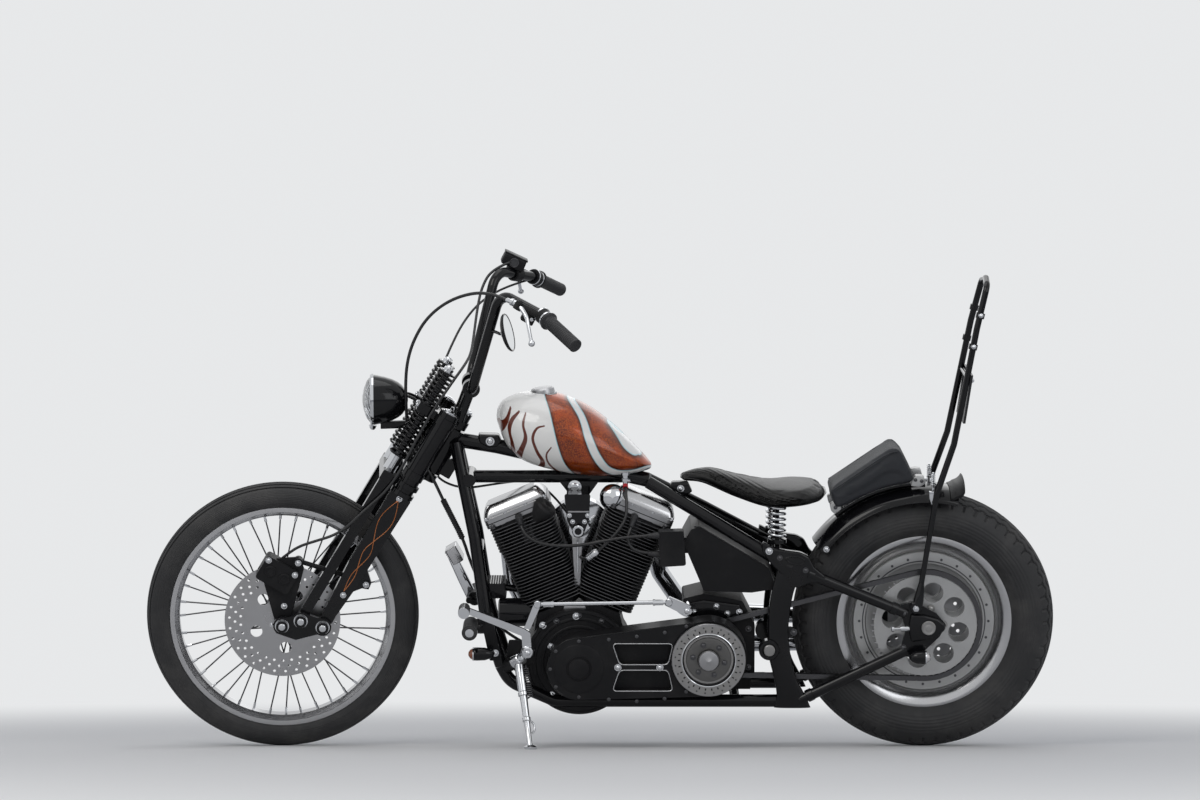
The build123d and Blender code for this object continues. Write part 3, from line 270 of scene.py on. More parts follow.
def lensMaterial(name, colour, ribs):
    # clear or tinted lens with upright ribs
    material, tree, surface = newMaterial(name, {"Transmission Weight": 1.0, "IOR": 1.45, "Roughness": 0.05})
    surface.inputs["Base Color"].default_value = (*colour, 1)
    coordinate = tree.nodes.new("ShaderNodeTexCoord")
    wave = tree.nodes.new("ShaderNodeTexWave")
    wave.bands_direction = "Y"
    wave.inputs["Scale"].default_value = ribs
    tree.links.new(coordinate.outputs["Object"], wave.inputs["Vector"])
    addBump(tree, surface, wave.outputs["Fac"], 0.6, 0.001)
    tint = mixColour(tree, ramp(tree, noiseNode(tree, coordinate.outputs["Object"], 30.0), 0.3, 0.8),
                     colour, tuple(c * 0.9 for c in colour))
    tree.links.new(tint, surface.inputs["Base Color"])
    return material


lampLens = lensMaterial("lampLens", (0.95, 0.96, 0.97), 42)
amberLens = finish("amberLens", (0.24, 0.06, 0.015), 0.15, coat=0.8, amount=0.05)
silverLens = finish("silverLens", (0.62, 0.6, 0.6), 0.18, metallic=0.7, coat=0.6, amount=0.05)
clutchGrey = finish("clutchGrey", (0.13, 0.128, 0.125), 0.42, metallic=0.8, amount=0.2, spread=0.2,
    bump=0.15)
mirrorFinish = finish("mirrorFinish", (0.85, 0.87, 0.88), 0.02, metallic=1, amount=0.02, spread=0.02,
    bump=0.0)
ornamentPaint = finish("ornamentPaint", (0.42, 0.13, 0.03), 0.25, metallic=0.3, coat=0.5, amount=0.05)
finEdge = finish("finEdge", (0.11, 0.11, 0.115), 0.4, metallic=0.4, amount=0.2, grain=1200, bump=0.2)
redPlastic = finish("redPlastic", (0.55, 0.02, 0.03), 0.35, amount=0.05)


def grainMaterial(name, colour, roughness, cells, strength, filmColour):
    # leather or vinyl: small cells with creases between them
    material = finish(name, colour, roughness, amount=0.18, filmColour=filmColour, patch=14.0, spread=0.2,
        shine=0.2)
    tree = material.node_tree
    surface = surfaceOf(tree)
    coordinate = tree.nodes.new("ShaderNodeTexCoord")
    cell = tree.nodes.new("ShaderNodeTexVoronoi")
    cell.feature = "DISTANCE_TO_EDGE"
    cell.inputs["Scale"].default_value = cells
    tree.links.new(coordinate.outputs["Object"], cell.inputs["Vector"])
    addBump(tree, surface, ramp(tree, cell.outputs["Distance"], 0.0, 0.3), strength, 0.0006)
    return material


saddleLeather = grainMaterial("saddleLeather", (0.006, 0.006, 0.006), 0.36, 520, 0.2, (0.016, 0.015, 0.014))
padVinyl = grainMaterial("padVinyl", (0.030, 0.032, 0.036), 0.55, 380, 0.3, (0.05, 0.05, 0.052))
print("finishes made")


# Mesh helpers: shapes are written in millimetres and put in place by a matrix

def finishMesh(mesh, material, angle=35):
    mesh.materials.clear()
    mesh.materials.append(material)
    mesh.shade_smooth()
    mesh.set_sharp_from_angle(angle=math.radians(angle))


def addPiece(name, mesh, material, body, angle=35):
    finishMesh(mesh, material, angle)
    piece = bpy.data.objects.new(name, mesh)
    bpy.context.scene.collection.objects.link(piece)
    if body:
        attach(piece, body)
    return piece


def withNormals(mesh, change=None):
    # the mesh with its normals facing out, after a change to it
    shape = bmesh.new()
    shape.from_mesh(mesh)
    if change:
        change(shape)
    bmesh.ops.recalc_face_normals(shape, faces=shape.faces)
    shape.to_mesh(mesh)
    shape.free()
    return mesh


def builtMesh(name, vertices, faces, place):
    mesh = bpy.data.meshes.new(name)
    mesh.from_pydata([place @ Vector(v) for v in vertices], [], faces)
    return withNormals(mesh, lambda shape: bmesh.ops.remove_doubles(shape, verts=shape.verts, dist=1e-6))


def lathe(outline, steps=64):
    # outline: (across, radius) points, turned about the local Y axis
    vertices, faces = [], []
    for ring in range(steps):
        angle = math.radians(360 * ring / steps)
        vertices += [onCircle(r, a, angle) for a, r in outline]
    count = len(outline)
    for ring in range(steps):
        here, there = ring * count, (ring + 1) % steps * count
        for k in range(count):
            n = (k + 1) % count
            faces.append((here + k, here + n, there + n, there + k))
    return vertices, faces


def turned(name, outline, material, on=onFrame, steps=64, angle=35):
    return addPiece(name, builtMesh(name, *lathe(outline, steps), on[0]), material, on[1], angle)


def aimed(start, end):
    # a frame at start, whose Y axis points at end
    way = Vector(end) - Vector(start)
    return Matrix.Translation(start) @ way.to_track_quat("Y", "Z").to_matrix().to_4x4()


def joined(parts):
    # one list of vertices and faces from several
    vertices, faces = [], []
    for more, wanted in parts:
        faces += [tuple(i + len(vertices) for i in face) for face in wanted]
        vertices += list(more)
    return vertices, faces


def plainMesh(piece):
    bpy.context.view_layer.update()
    graph = bpy.context.evaluated_depsgraph_get()
    mesh = bpy.data.meshes.new_from_object(piece.evaluated_get(graph), depsgraph=graph)
    piece.modifiers.clear()
    return mesh


def splinePoints(points, place):
    # the smooth line through a route, as the vertices of a curve with no bevel
    curve = bpy.data.curves.new("route", "CURVE")
    curve.dimensions = "3D"
    spline = curve.splines.new("NURBS")
    spline.points.add(len(points) - 1)
    for point, co in zip(spline.points, points):
        point.co = (*(place @ Vector(co)), 1)
    spline.order_u = 3
    spline.use_endpoint_u = True
    spline.resolution_u = 8
    holder = bpy.data.objects.new("route", curve)
    bpy.context.scene.collection.objects.link(holder)
    bpy.context.view_layer.update()
    mesh = bpy.data.meshes.new_from_object(holder)
    line = [v.co.copy() for v in mesh.vertices]
    bpy.data.objects.remove(holder)
    return line


def tubeAlong(line, radii, sides=12):
    # a round tube through a list of points in metres, radii in metres, with no twist
    if isinstance(radii, float):
        radii = [radii] * len(line)
    vertices, faces = [], []
    normal = (line[1] - line[0]).normalized().orthogonal().normalized()
    for k, point in enumerate(line):
        ahead = line[min(k + 1, len(line) - 1)] - line[max(k - 1, 0)]
        ahead.normalize()
        normal = (normal - ahead * normal.dot(ahead)).normalized()
        side = ahead.cross(normal)
        for s in range(sides):
            angle = 2 * math.pi * s / sides
            vertices.append(tuple(point + (normal * math.cos(angle) + side * math.sin(angle)) * radii[k]))
    for k in range(len(line) - 1):
        for s in range(sides):
            n = (s + 1) % sides
            faces.append((k * sides + s, k * sides + n, (k + 1) * sides + n, (k + 1) * sides + s))
    faces.append(tuple(range(sides))[::-1])
    faces.append(tuple((len(line) - 1) * sides + s for s in range(sides)))
    return vertices, faces


metres = Matrix.Identity(4)


# Geometry Nodes trees

def nodeTree(name, inputs):
    tree = bpy.data.node_groups.new(name, "GeometryNodeTree")
    tree.interface.new_socket("Geometry", in_out="INPUT", socket_type="NodeSocketGeometry")
    for label, kind, value in inputs:
        socket = tree.interface.new_socket(label, in_out="INPUT", socket_type=kind)
        if value is not None:
            socket.default_value = value
    tree.interface.new_socket("Geometry", in_out="OUTPUT", socket_type="NodeSocketGeometry")
    return tree, tree.nodes.new("NodeGroupInput"), tree.nodes.new("NodeGroupOutput")


def geoNode(tree, kind, links=(), **settings):
    node = tree.nodes.new(kind)
    for label, value in settings.items():
        setattr(node, label, value)
    for socket, value in links:
        target = node.inputs[socket]
        if isinstance(value, bpy.types.NodeSocket):
            tree.links.new(value, target)
        else:
            target.default_value = value
    return node


def runTree(name, base, tree, values, material, on, angle=35):
    # the tree's result as a plain mesh, put in place
    holder = bpy.data.objects.new(name, base)
    bpy.context.scene.collection.objects.link(holder)
    modifier = holder.modifiers.new(name, "NODES")
    modifier.node_group = tree
    for item in tree.interface.items_tree:
        if item.item_type == "SOCKET" and item.in_out == "INPUT" and item.name in values:
            modifier[item.identifier] = values[item.name]
    mesh = plainMesh(holder)
    bpy.data.objects.remove(holder)
    mesh.transform(on[0])
    mesh.name = name
    return addPiece(name, mesh, material, on[1], angle)


def instanced(tree, treeIn, treeOut, shape, sized=False):
    # the shape on every point, turned to its facing, made real and painted
    facing = geoNode(tree, "GeometryNodeInputNamedAttribute", [("Name", "facing")], data_type="FLOAT_VECTOR")
    aim = geoNode(tree, "FunctionNodeAlignRotationToVector", [("Vector", facing.outputs["Attribute"])],
        axis="Z")
    links = [
        ("Points", treeIn.outputs["Geometry"]), ("Instance", shape), ("Rotation", aim.outputs["Rotation"])]
    if sized:
        size = geoNode(tree, "GeometryNodeInputNamedAttribute", [("Name", "size")], data_type="FLOAT_VECTOR")
        links.append(("Scale", size.outputs["Attribute"]))
    spots = geoNode(tree, "GeometryNodeInstanceOnPoints", links)
    real = geoNode(tree, "GeometryNodeRealizeInstances", [("Geometry", spots.outputs["Instances"])])
    paint = geoNode(tree, "GeometryNodeSetMaterial", [("Geometry", real.outputs["Geometry"]),
        ("Material", treeIn.outputs["Finish"])])
    tree.links.new(paint.outputs["Geometry"], treeOut.inputs["Geometry"])


# Bolt heads on a list of points, each facing its own way
boltTree, boltIn, boltOut = nodeTree("boltHeads", [("Radius", "NodeSocketFloat", 5.0),
    ("Height", "NodeSocketFloat", 4.0), ("Sides", "NodeSocketInt", 6), ("Dome", "NodeSocketFloat", 0.5),
    ("Washer", "NodeSocketFloat", 1.3), ("Finish", "NodeSocketMaterial", None)])
head = geoNode(boltTree, "GeometryNodeMeshCylinder", [("Vertices", boltIn.outputs["Sides"]),
    ("Radius", boltIn.outputs["Radius"]), ("Depth", boltIn.outputs["Height"])])
halfHeight = geoNode(boltTree, "ShaderNodeMath", [(0, boltIn.outputs["Height"]), (1, 0.5)],
    operation="MULTIPLY")
headUp = geoNode(boltTree, "ShaderNodeCombineXYZ", [("Z", halfHeight.outputs[0])])
headMoved = geoNode(boltTree, "GeometryNodeTransform", [("Geometry", head.outputs["Mesh"]),
    ("Translation", headUp.outputs[0])])
domeRadius = geoNode(boltTree, "ShaderNodeMath", [(0, boltIn.outputs["Radius"]), (1, 0.86)],
    operation="MULTIPLY")
dome = geoNode(boltTree, "GeometryNodeMeshUVSphere", [("Segments", 12), ("Rings", 8),
    ("Radius", domeRadius.outputs[0])])
domeFlat = geoNode(boltTree, "ShaderNodeCombineXYZ", [("X", 1.0), ("Y", 1.0), ("Z", boltIn.outputs["Dome"])])
domeUp = geoNode(boltTree, "ShaderNodeCombineXYZ", [("Z", boltIn.outputs["Height"])])
domeMoved = geoNode(boltTree, "GeometryNodeTransform", [
    ("Geometry", dome.outputs["Mesh"]), ("Translation", domeUp.outputs[0]), ("Scale", domeFlat.outputs[0])])
washerRadius = geoNode(boltTree, "ShaderNodeMath", [(0, boltIn.outputs["Radius"]),
    (1, boltIn.outputs["Washer"])], operation="MULTIPLY")
washer = geoNode(boltTree, "GeometryNodeMeshCylinder", [
    ("Vertices", 20), ("Radius", washerRadius.outputs[0]), ("Depth", halfHeight.outputs[0])])
boltParts = geoNode(boltTree, "GeometryNodeJoinGeometry")
for part in (headMoved, domeMoved):
    boltTree.links.new(part.outputs["Geometry"], boltParts.inputs["Geometry"])
boltTree.links.new(washer.outputs["Mesh"], boltParts.inputs["Geometry"])
instanced(boltTree, boltIn, boltOut, boltParts.outputs["Geometry"])


def spotMesh(name, spots):
    mesh = bpy.data.meshes.new(name)
    mesh.from_pydata([s[0] for s in spots], [], [])
    attribute = mesh.attributes.new("facing", "FLOAT_VECTOR", "POINT")
    attribute.data.foreach_set("vector", [c for s in spots for c in s[1]])
    return mesh


def bolts(name, spots, radius, height, material, on=onFrame, sides=6, dome=0.5, washer=1.3):
    values = {"Radius": float(radius), "Height": float(height), "Sides": sides, "Dome": float(dome),
              "Washer": float(washer), "Finish": material}
    return runTree(name, spotMesh(name, spots), boltTree, values, material, on, 40)


# A coil of round wire along the local Z axis, one at each point
coilTree, coilIn, coilOut = nodeTree("wireCoils", [("Turns", "NodeSocketFloat", 8.0),
    ("Radius", "NodeSocketFloat", 20.0), ("Height", "NodeSocketFloat", 100.0),
    ("Wire", "NodeSocketFloat", 3.0), ("Finish", "NodeSocketMaterial", None)])
spiral = geoNode(coilTree, "GeometryNodeCurveSpiral", [
    ("Resolution", 22), ("Rotations", coilIn.outputs["Turns"]), ("Start Radius", coilIn.outputs["Radius"]),
    ("End Radius", coilIn.outputs["Radius"]), ("Height", coilIn.outputs["Height"])])
wireShape = geoNode(coilTree, "GeometryNodeCurvePrimitiveCircle",
    [("Resolution", 10), ("Radius", coilIn.outputs["Wire"])])
coilMesh = geoNode(coilTree, "GeometryNodeCurveToMesh", [
    ("Curve", spiral.outputs["Curve"]), ("Profile Curve", wireShape.outputs["Curve"]), ("Fill Caps", True)])
instanced(coilTree, coilIn, coilOut, coilMesh.outputs["Mesh"])


def coils(name, spots, turns, radius, height, wire, material, on=onFrame):
    values = {"Turns": float(turns), "Radius": float(radius), "Height": float(height), "Wire": float(wire),
              "Finish": material}
    return runTree(name, spotMesh(name, spots), coilTree, values, material, on, 60)


# Copies of one shape on a list of points, each with its own facing and size
copyTree, copyIn, copyOut = nodeTree("shapeCopies", [
    ("Shape", "NodeSocketObject", None), ("Finish", "NodeSocketMaterial", None)])
copyShape = geoNode(copyTree, "GeometryNodeObjectInfo", [("Object", copyIn.outputs["Shape"])])
instanced(copyTree, copyIn, copyOut, copyShape.outputs["Geometry"], sized=True)


def copies(name, shape, spots, material, on=onFrame, angle=35):
    # spots: (point, facing, (size along x, y, z)); shape: vertices and faces along local Z
    model = bpy.data.objects.new("model", builtMesh("model", *shape, metres))
    bpy.context.scene.collection.objects.link(model)
    base = spotMesh(name, spots)
    attribute = base.attributes.new("size", "FLOAT_VECTOR", "POINT")
    attribute.data.foreach_set("vector", [c for s in spots for c in s[2]])
    piece = runTree(name, base, copyTree, {"Shape": model, "Finish": material}, material, on, angle)
    bpy.data.objects.remove(model)
    return piece


def onCircle(radius, across, angle, middle=(0, 0)):
    # a point on a circle round the Y axis
    return middle[0] + radius * math.cos(angle), across, middle[1] + radius * math.sin(angle)


def aroundAxis(radius, across, degrees, middle=(0, 0), out=1):
    # spots on such a circle, facing out along the axis
    return [(onCircle(radius, across, a, middle), (0, out, 0)) for a in np.radians(degrees)]


def sideSpots(across, *places):
    # spots at places (x, z) of a side view, facing away from the middle
    return [((x, across, z), (0, math.copysign(1, across), 0)) for x, z in places]


def ribbed(count, pitch, along, high, low):
    # the ribs of a rubber's outline: up, along the top, down, along the groove
    return [(a + pitch * k, r) for k in range(count) for a, r in zip(along, (high, high, low, low))]


def barShape(sides=8):
    # a round bar of radius 1 and length 1 along Z
    ring = [(math.cos(2 * math.pi * s / sides), math.sin(2 * math.pi * s / sides)) for s in range(sides)]
    vertices = [(x, y, 0) for x, y in ring] + [(x, y, 1) for x, y in ring]
    faces = [(s, (s + 1) % sides, (s + 1) % sides + sides, s + sides) for s in range(sides)]
    return vertices, faces + [tuple(range(sides))[::-1], tuple(range(sides, 2 * sides))]


def barSpot(start, end, radius):
    way = Vector(end) - Vector(start)
    return tuple(start), tuple(way.normalized()), (radius, radius, way.length)


def block(name, outline, y0, y1, bevel, material, on=onFrame, segments=2, angle=35):
    # a plate or box cut to a side-view outline, with rounded edges
    low, high = min(y0, y1), max(y0, y1)
    count = len(outline)
    vertices = [(x, low, z) for x, z in outline] + [(x, high, z) for x, z in outline]
    faces = [tuple(range(count)), tuple(range(count, 2 * count))[::-1]]
    faces += [(k, (k + 1) % count, (k + 1) % count + count, k + count) for k in range(count)]
    mesh = builtMesh(name, vertices, faces, metres)
    withNormals(mesh, lambda shape: bmesh.ops.bevel(shape, geom=shape.edges[:], offset=bevel,
        segments=segments, profile=0.5, affect="EDGES"))
    mesh.transform(on[0])
    return addPiece(name, mesh, material, on[1], angle)


def acorn(radius, height):
    # a closed nut with a domed cap, standing on 0
    return [(0, 0.01), (0, radius * 1.22), (1.6, radius * 1.22), (1.6, radius), (height * 0.55, radius),
            (height * 0.6, radius * 0.82), (height * 0.8, radius * 0.7), (height * 0.95, radius * 0.4),
            (height, 0.01)]


def roundPiece(name, start, end, outline, material, on=onFrame, steps=40, angle=35):
    return turned(name, outline, material, (on[0] @ aimed(start, end), on[1]), steps, angle)


def tubePiece(name, points, radii, material, on=onFrame, sides=12):
    line = splinePoints(points, on[0])
    if isinstance(radii, (list, tuple)):
        spread = [np.interp(k / (len(line) - 1), np.linspace(0, 1, len(radii)), radii) / 1000
                  for k in range(len(line))]
    else:
        spread = [radii / 1000] * len(line)
    return addPiece(name, builtMesh(name, *tubeAlong(line, spread, sides), metres), material, on[1], 60)


# Cords: their routes in the drawing's millimetres, as points that a smooth line follows

cords = {
    "clutchCable": {"node": "clutch_cable", "across": 8.0, "on": onFork,
        "cross": ((-20, 20, -120), (-230, 20, -120)), "sleeve": ((-66, 30, -156), (-162, 35, -218)),
        "route": [(60, 282, 404), (88, 256, 397), (120, 226, 388), (158, 190, 362), (196, 150, 308),
        (216, 112, 240), (213, 84, 170), (196, 60, 108), (166, 48, 50), (130, 27, -6), (96, 16, -60),
        (52, 32, -94), (8, 48, -104), (-28, 44, -128), (-66, 30, -156), (-112, 28, -186), (-162, 35, -218),
        (-205, 27, -258), (-250, 16, -292), (-290, 7, -331), (-337, 2, -366), (-394, 1, -381),
        (-450, 6, -378)]},
    "throttleCable": {"node": "throttle_cable", "across": 6.0, "on": onFork,
        "cross": ((-30, -30, -118), (-230, -30, -118)), "route": [(2, -288, 396), (30, -262, 372),
        (64, -226, 336), (92, -184, 292), (104, -150, 234), (102, -124, 174), (95, -106, 112),
        (88, -98, 48), (76, -88, -8), (65, -68, -40), (40, -50, -74), (8, -40, -98), (-26, -32, -121),
        (-52, -28, -125), (-83, -14, -117), (-112, -8, -102), (-142, -9, -78), (-175, -33, -58),
        (-210, -62, -39), (-246, -78, -20), (-291, -83, -19), (-334, -80, -30), (-367, -76, -43),
        (-396, -74, -56)]},
    "frontBrakeHose": {"node": "front_brake_hose", "across": 7.0, "on": onFork,
        "route": [(216, 77, -487), (207, 86, -458), (193, 94, -427), (166, 102, -394), (137, 109, -360),
        (119, 112, -326), (109, 114, -290), (98, 114, -250), (84, 114, -208), (76, 112, -160),
        (76, 109, -104), (80, 105, -44), (82, 102, 20), (80, 100, 84), (74, 84, 142), (66, 46, 180),
        (62, -6, 200), (72, -62, 232), (94, -112, 288), (110, -150, 340), (106, -188, 388),
        (72, -208, 426)]},
    "frontPlugLead": {"node": "front_plug_lead", "across": 8.0, "on": onFrame,
        "route": [(1026, 79, 606), (1021, 100, 594), (1008, 112, 570), (975, 117, 552), (925, 118, 545),
        (870, 118.5, 547), (808, 120, 560), (742, 122, 571), (674, 116, 572)]},
    "rearPlugLead": {"node": "rear_plug_lead", "across": 8.0, "on": onFrame,
        "route": [(736, 79, 604), (745, 98, 588), (754, 106, 562), (745, 107, 538), (716, 106, 525),
        (670, 104, 522)]},
    "fuelLine": {"node": "fuel_line", "across": 8.0, "on": onFrame,
        "route": [(758, 50, 688), (757, 70, 671), (754, 88, 642), (758, 99, 608), (780, 105, 576),
        (808, 104, 546), (838, 97, 518), (862, 82, 502), (874, 55, 506), (875, 20, 522), (873, -18, 536),
        (875, -50, 544), (876, -77, 549)]},
}
for name, cord in cords.items():
    place, body = cord["on"]
    line = splinePoints(cord["route"], place)
    tube = builtMesh(name, *tubeAlong(line, cord["across"] / 2000, 10), metres)
    piece = addPiece(name, tube, sheathBlack, None if "cross" in cord else body, 60)
    sleeves = []
    if "sleeve" in cord:
        first, last = (min(range(len(line)), key=lambda k: (line[k] - place @ Vector(p)).length)
                       for p in cord["sleeve"])
        along = np.arange(0, last - first, 0.25)
        ribs = [line[first + int(k)].lerp(line[first + int(k) + 1], k - int(k)) for k in along]
        radii = [0.0078 if k % 3 else 0.0062 for k in range(len(ribs))]
        radii[0] = radii[-1] = 0.0048
        sleeve = builtMesh(name + "Sleeve", *tubeAlong(ribs, radii, 16), metres)
        sleeves = [addPiece(name + "Sleeve", sleeve, softRubber, None, 30)]
    if "cross" in cord:
        start, end = (tuple(place @ Vector(p)) for p in cord["cross"])
        for part in [piece] + sleeves:
            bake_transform(part)
    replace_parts(piece, cord["node"])


# Wheels

def tyreShape(ring, half, seat, widest, steps, stride, depthAt):
    # a round section with grooves, turned about the axle; depthAt gives a groove's depth
    angles = np.radians(np.arange(-widest, widest + stride / 2, stride))
    vertices, faces = [], []
    count = len(angles) + 2
    for k in range(steps):
        turn = 2 * math.pi * k / steps
        section = []
        for a in angles:
            reach = half - depthAt(half * math.sin(a), math.degrees(a), turn)
            section.append((reach * math.sin(a), ring + reach * math.cos(a)))
        section = [(section[0][0] * 0.86, seat)] + section + [(section[-1][0] * 0.86, seat)]
        vertices += [onCircle(r, a, turn) for a, r in section]
    for k in range(steps):
        here, there = k * count, (k + 1) % steps * count
        for p in range(count):
            n = (p + 1) % count
            faces.append((here + p, here + n, there + n, there + p))
    return vertices, faces


frontTyre = {
    "ring": 305.0, "half": 40.0, "seat": 285.0, "steps": 160, "grooves": (5.5, 15.5, 25.0), "wide": 2.6,
    "deep": 3.0}
rearTyre = {"ring": 269.0, "half": 63.0, "seat": 222.0, "steps": 360, "zigzags": 60, "deep": 4.0}


def frontGrooves(across, angle, turn):
    if any(abs(abs(across) - g) < frontTyre["wide"] / 2 for g in frontTyre["grooves"]):
        return frontTyre["deep"]
    if 52 < abs(angle) < 96:
        return 0.5 if int(abs(angle) / 3) % 2 else 0.0
    return 0.3 if abs(angle) > 100 else 0.0


def rearGrooves(across, angle, turn):
    swing = turn / (2 * math.pi) * rearTyre["zigzags"] % 1
    zigzag = 4 * abs(swing - 0.5) - 1
    for middle, wide, weave in ((9, 3.4, 2.2), (26, 3.6, 3.0), (41, 3.0, 3.5)):
        if abs(abs(across) - middle - weave * zigzag * math.copysign(1, across)) < wide / 2:
            return rearTyre["deep"]
    if 41 < abs(across) < 55 and abs(angle) < 90 and swing < 0.16:
        return rearTyre["deep"] * 0.8
    if 74 < abs(angle) < 112:
        return 0.7 if int(abs(angle) / 4) % 2 else 0.0
    return 0.0


for name, tyre, widest, grooves, on in (("front", frontTyre, 116, frontGrooves, onFrontWheel),
        ("rear", rearTyre, 124, rearGrooves, onRearWheel)):
    shape = tyreShape(tyre["ring"], tyre["half"], tyre["seat"], widest, tyre["steps"], 1.8, grooves)
    piece = addPiece(name + "Tyre", builtMesh(name + "Tyre", *shape, on[0]), mattRubber, on[1], 30)
    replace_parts(piece, name + "_tyre")

frontWheel = {
    "spokes": 40, "wire": 1.9, "hubRadius": 46.0, "hubAcross": 34.0, "rimRadius": 266.0, "rimAcross": 7.0}
rimOutline = [
    (-30, 284.7), (-27.5, 286.2), (-25.5, 284.7), (-23, 277), (-16, 273), (16, 273), (23, 277),
    (25.5, 284.7), (27.5, 286.2), (30, 284.7), (30.4, 280), (29.5, 273), (27, 271), (20, 267), (14, 261.5),
    (-14, 261.5), (-20, 267), (-27, 271), (-29.5, 273), (-30.4, 280)]
frontRim = turned("frontRim", rimOutline, polishedAluminium, onFrontWheel, steps=144, angle=28)
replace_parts(frontRim, "front_rim")
hubOutline = [
    (-54, 13), (-54, 23), (-46, 25), (-39, 30), (-38, 50), (-30, 50), (-27, 34), (-18, 27), (0, 25.5),
    (18, 27), (27, 34), (30, 50), (38, 50), (40, 37), (55.5, 36), (55.5, 13)]
turned("frontHub", hubOutline, polishedAluminium, onFrontWheel, steps=64, angle=28)
spokes, nipples = [], []
for k in range(frontWheel["spokes"]):
    side = 1 if k % 2 else -1
    cross = 24 if k % 4 < 2 else -24
    atRim = math.radians(360 / frontWheel["spokes"] * (k + 0.5))
    atHub = atRim + math.radians(cross)
    hubPoint = Vector(onCircle(frontWheel["hubRadius"], side * frontWheel["hubAcross"], atHub))
    rimPoint = Vector(onCircle(frontWheel["rimRadius"], side * frontWheel["rimAcross"], atRim))
    spokes.append(barSpot(hubPoint, rimPoint, frontWheel["wire"]))
    nipples.append(barSpot(rimPoint + (hubPoint - rimPoint).normalized() * 19, rimPoint, 3.3))
copies("frontSpokes", barShape(8), spokes, darkSteel, onFrontWheel, angle=60)
copies("frontNipples", barShape(6), nipples, chrome, onFrontWheel, angle=30)
bolts("frontDiscBolts", aroundAxis(29, 60.5, np.arange(18, 360, 72)), 5, 3, chrome, onFrontWheel)

rearWheel = {
    "dots": 24, "dotRing": 164.0,
    "lip": [(44.4, 221.6), (45.2, 219), (44.6, 214.4), (31, 184.5), (30, 184.2), (42.8, 214.6), (43, 221.4)]}
turned("rearRimLip", rearWheel["lip"], polishedAluminium, onRearWheel, steps=128, angle=50)
turned("rearRimLipRight", [(-a, r) for a, r in rearWheel["lip"][:3]] + [(-44, 212.3), (-42.8, 221.4)],
    polishedAluminium, onRearWheel, steps=128, angle=50)
dots = [(onCircle(rearWheel["dotRing"], 33.6, a), (0, 1, 0), (3.6, 3.6, 1.2))
        for a in np.radians(np.arange(0, 360, 360 / rearWheel["dots"]))]
copies("rearRimDots", barShape(8), dots, darkSteel, onRearWheel)
# painted shade of a groove: a thin dark ring laid on the rim's face
turned("rearRimGroove", [(33.9, 154), (34.3, 154), (34.3, 157), (33.9, 157)], darkSteel, onRearWheel,
    steps=96)
bolts("sprocketBolts", aroundAxis(45, 82, np.arange(34, 360, 72)), 8.5, 5, machinedGrey, onRearWheel)
turned("rearHubCap", [(82, 13), (82, 40), (86, 40), (87, 36), (90, 34), (91, 13)], chrome, onRearWheel,
    steps=48)
sprocketTeeth = [(onCircle(129, 78, a), onCircle(1, 0, a), (2.6, 2.6, 7))
                 for a in np.radians(np.arange(0, 360, 360 / 54))]
copies("sprocketTeeth", barShape(6), sprocketTeeth, drilledSteel, onRearWheel)

# Chain, one link after another round both sprockets
chain = {"rear": 138.0, "front": 62.0, "gear": (550.0, 268.0), "across": 78.0, "pitch": 15.9}
rearMiddle = Vector((0, 0, stance["rearAxle"]))
gearMiddle = Vector((chain["gear"][0], 0, chain["gear"][1]))
between = gearMiddle - rearMiddle
tilt = math.atan2(between.z, between.x)
wrap = math.atan2(chain["rear"] - chain["front"], between.length)
upper, lower = tilt + math.pi / 2 - wrap, tilt - math.pi / 2 + wrap
loop = []
for middle, radius, start, end in ((rearMiddle, chain["rear"], upper, lower + 2 * math.pi),
        (gearMiddle, chain["front"], lower, upper)):
    for k in range(49):
        angle = start + (end - start) * k / 48
        loop.append(middle + Vector(onCircle(radius, chain["across"], angle)))
loop.append(loop[0])
reach = [0.0]
for a, b in zip(loop, loop[1:]):
    reach.append(reach[-1] + (b - a).length)
links = round(reach[-1] / chain["pitch"])
spots = []
for k in range(links):
    here, there = (Vector([np.interp(d, reach, [p[i] for p in loop]) for i in range(3)])
                   for d in (reach[-1] * k / links, reach[-1] * (k + 1) / links % reach[-1]))
    way = (there - here).normalized()
    spots.append((tuple(here), tuple(way), (1, 1.0 if k % 2 else 0.8, 1)))


def linkShape():
    # two side plates and a roller; the link's length runs along Z
    parts = []
    for y in (-7.2, 5.6):
        ring = []
        for middle, start in ((0, 180), (chain["pitch"], 0)):
            turns = [math.radians(start + a) for a in (0, 45, 90, 135, 180)]
            ring += [(6.2 * math.cos(turn), middle + 6.2 * math.sin(turn)) for turn in turns]
        count = len(ring)
        vertices = [(x, y, z) for x, z in ring] + [(x, y + 1.6, z) for x, z in ring]
        faces = [tuple(range(count)), tuple(range(count, 2 * count))[::-1]]
        faces += [(s, (s + 1) % count, (s + 1) % count + count, s + count) for s in range(count)]
        parts.append((vertices, faces))
    parts.append(lathe([(-8.6, 0.01), (-8.6, 2.6), (-5, 2.6), (-5, 4.4), (5, 4.4), (5, 2.6), (8.6, 2.6),
                        (8.6, 0.01)], 8))
    return joined(parts)


chainLinks = copies("chainLinks", linkShape(), spots, darkSteel)
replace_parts(chainLinks, "drive_chain")
print("wheels made")


# Fork, lamp, bars

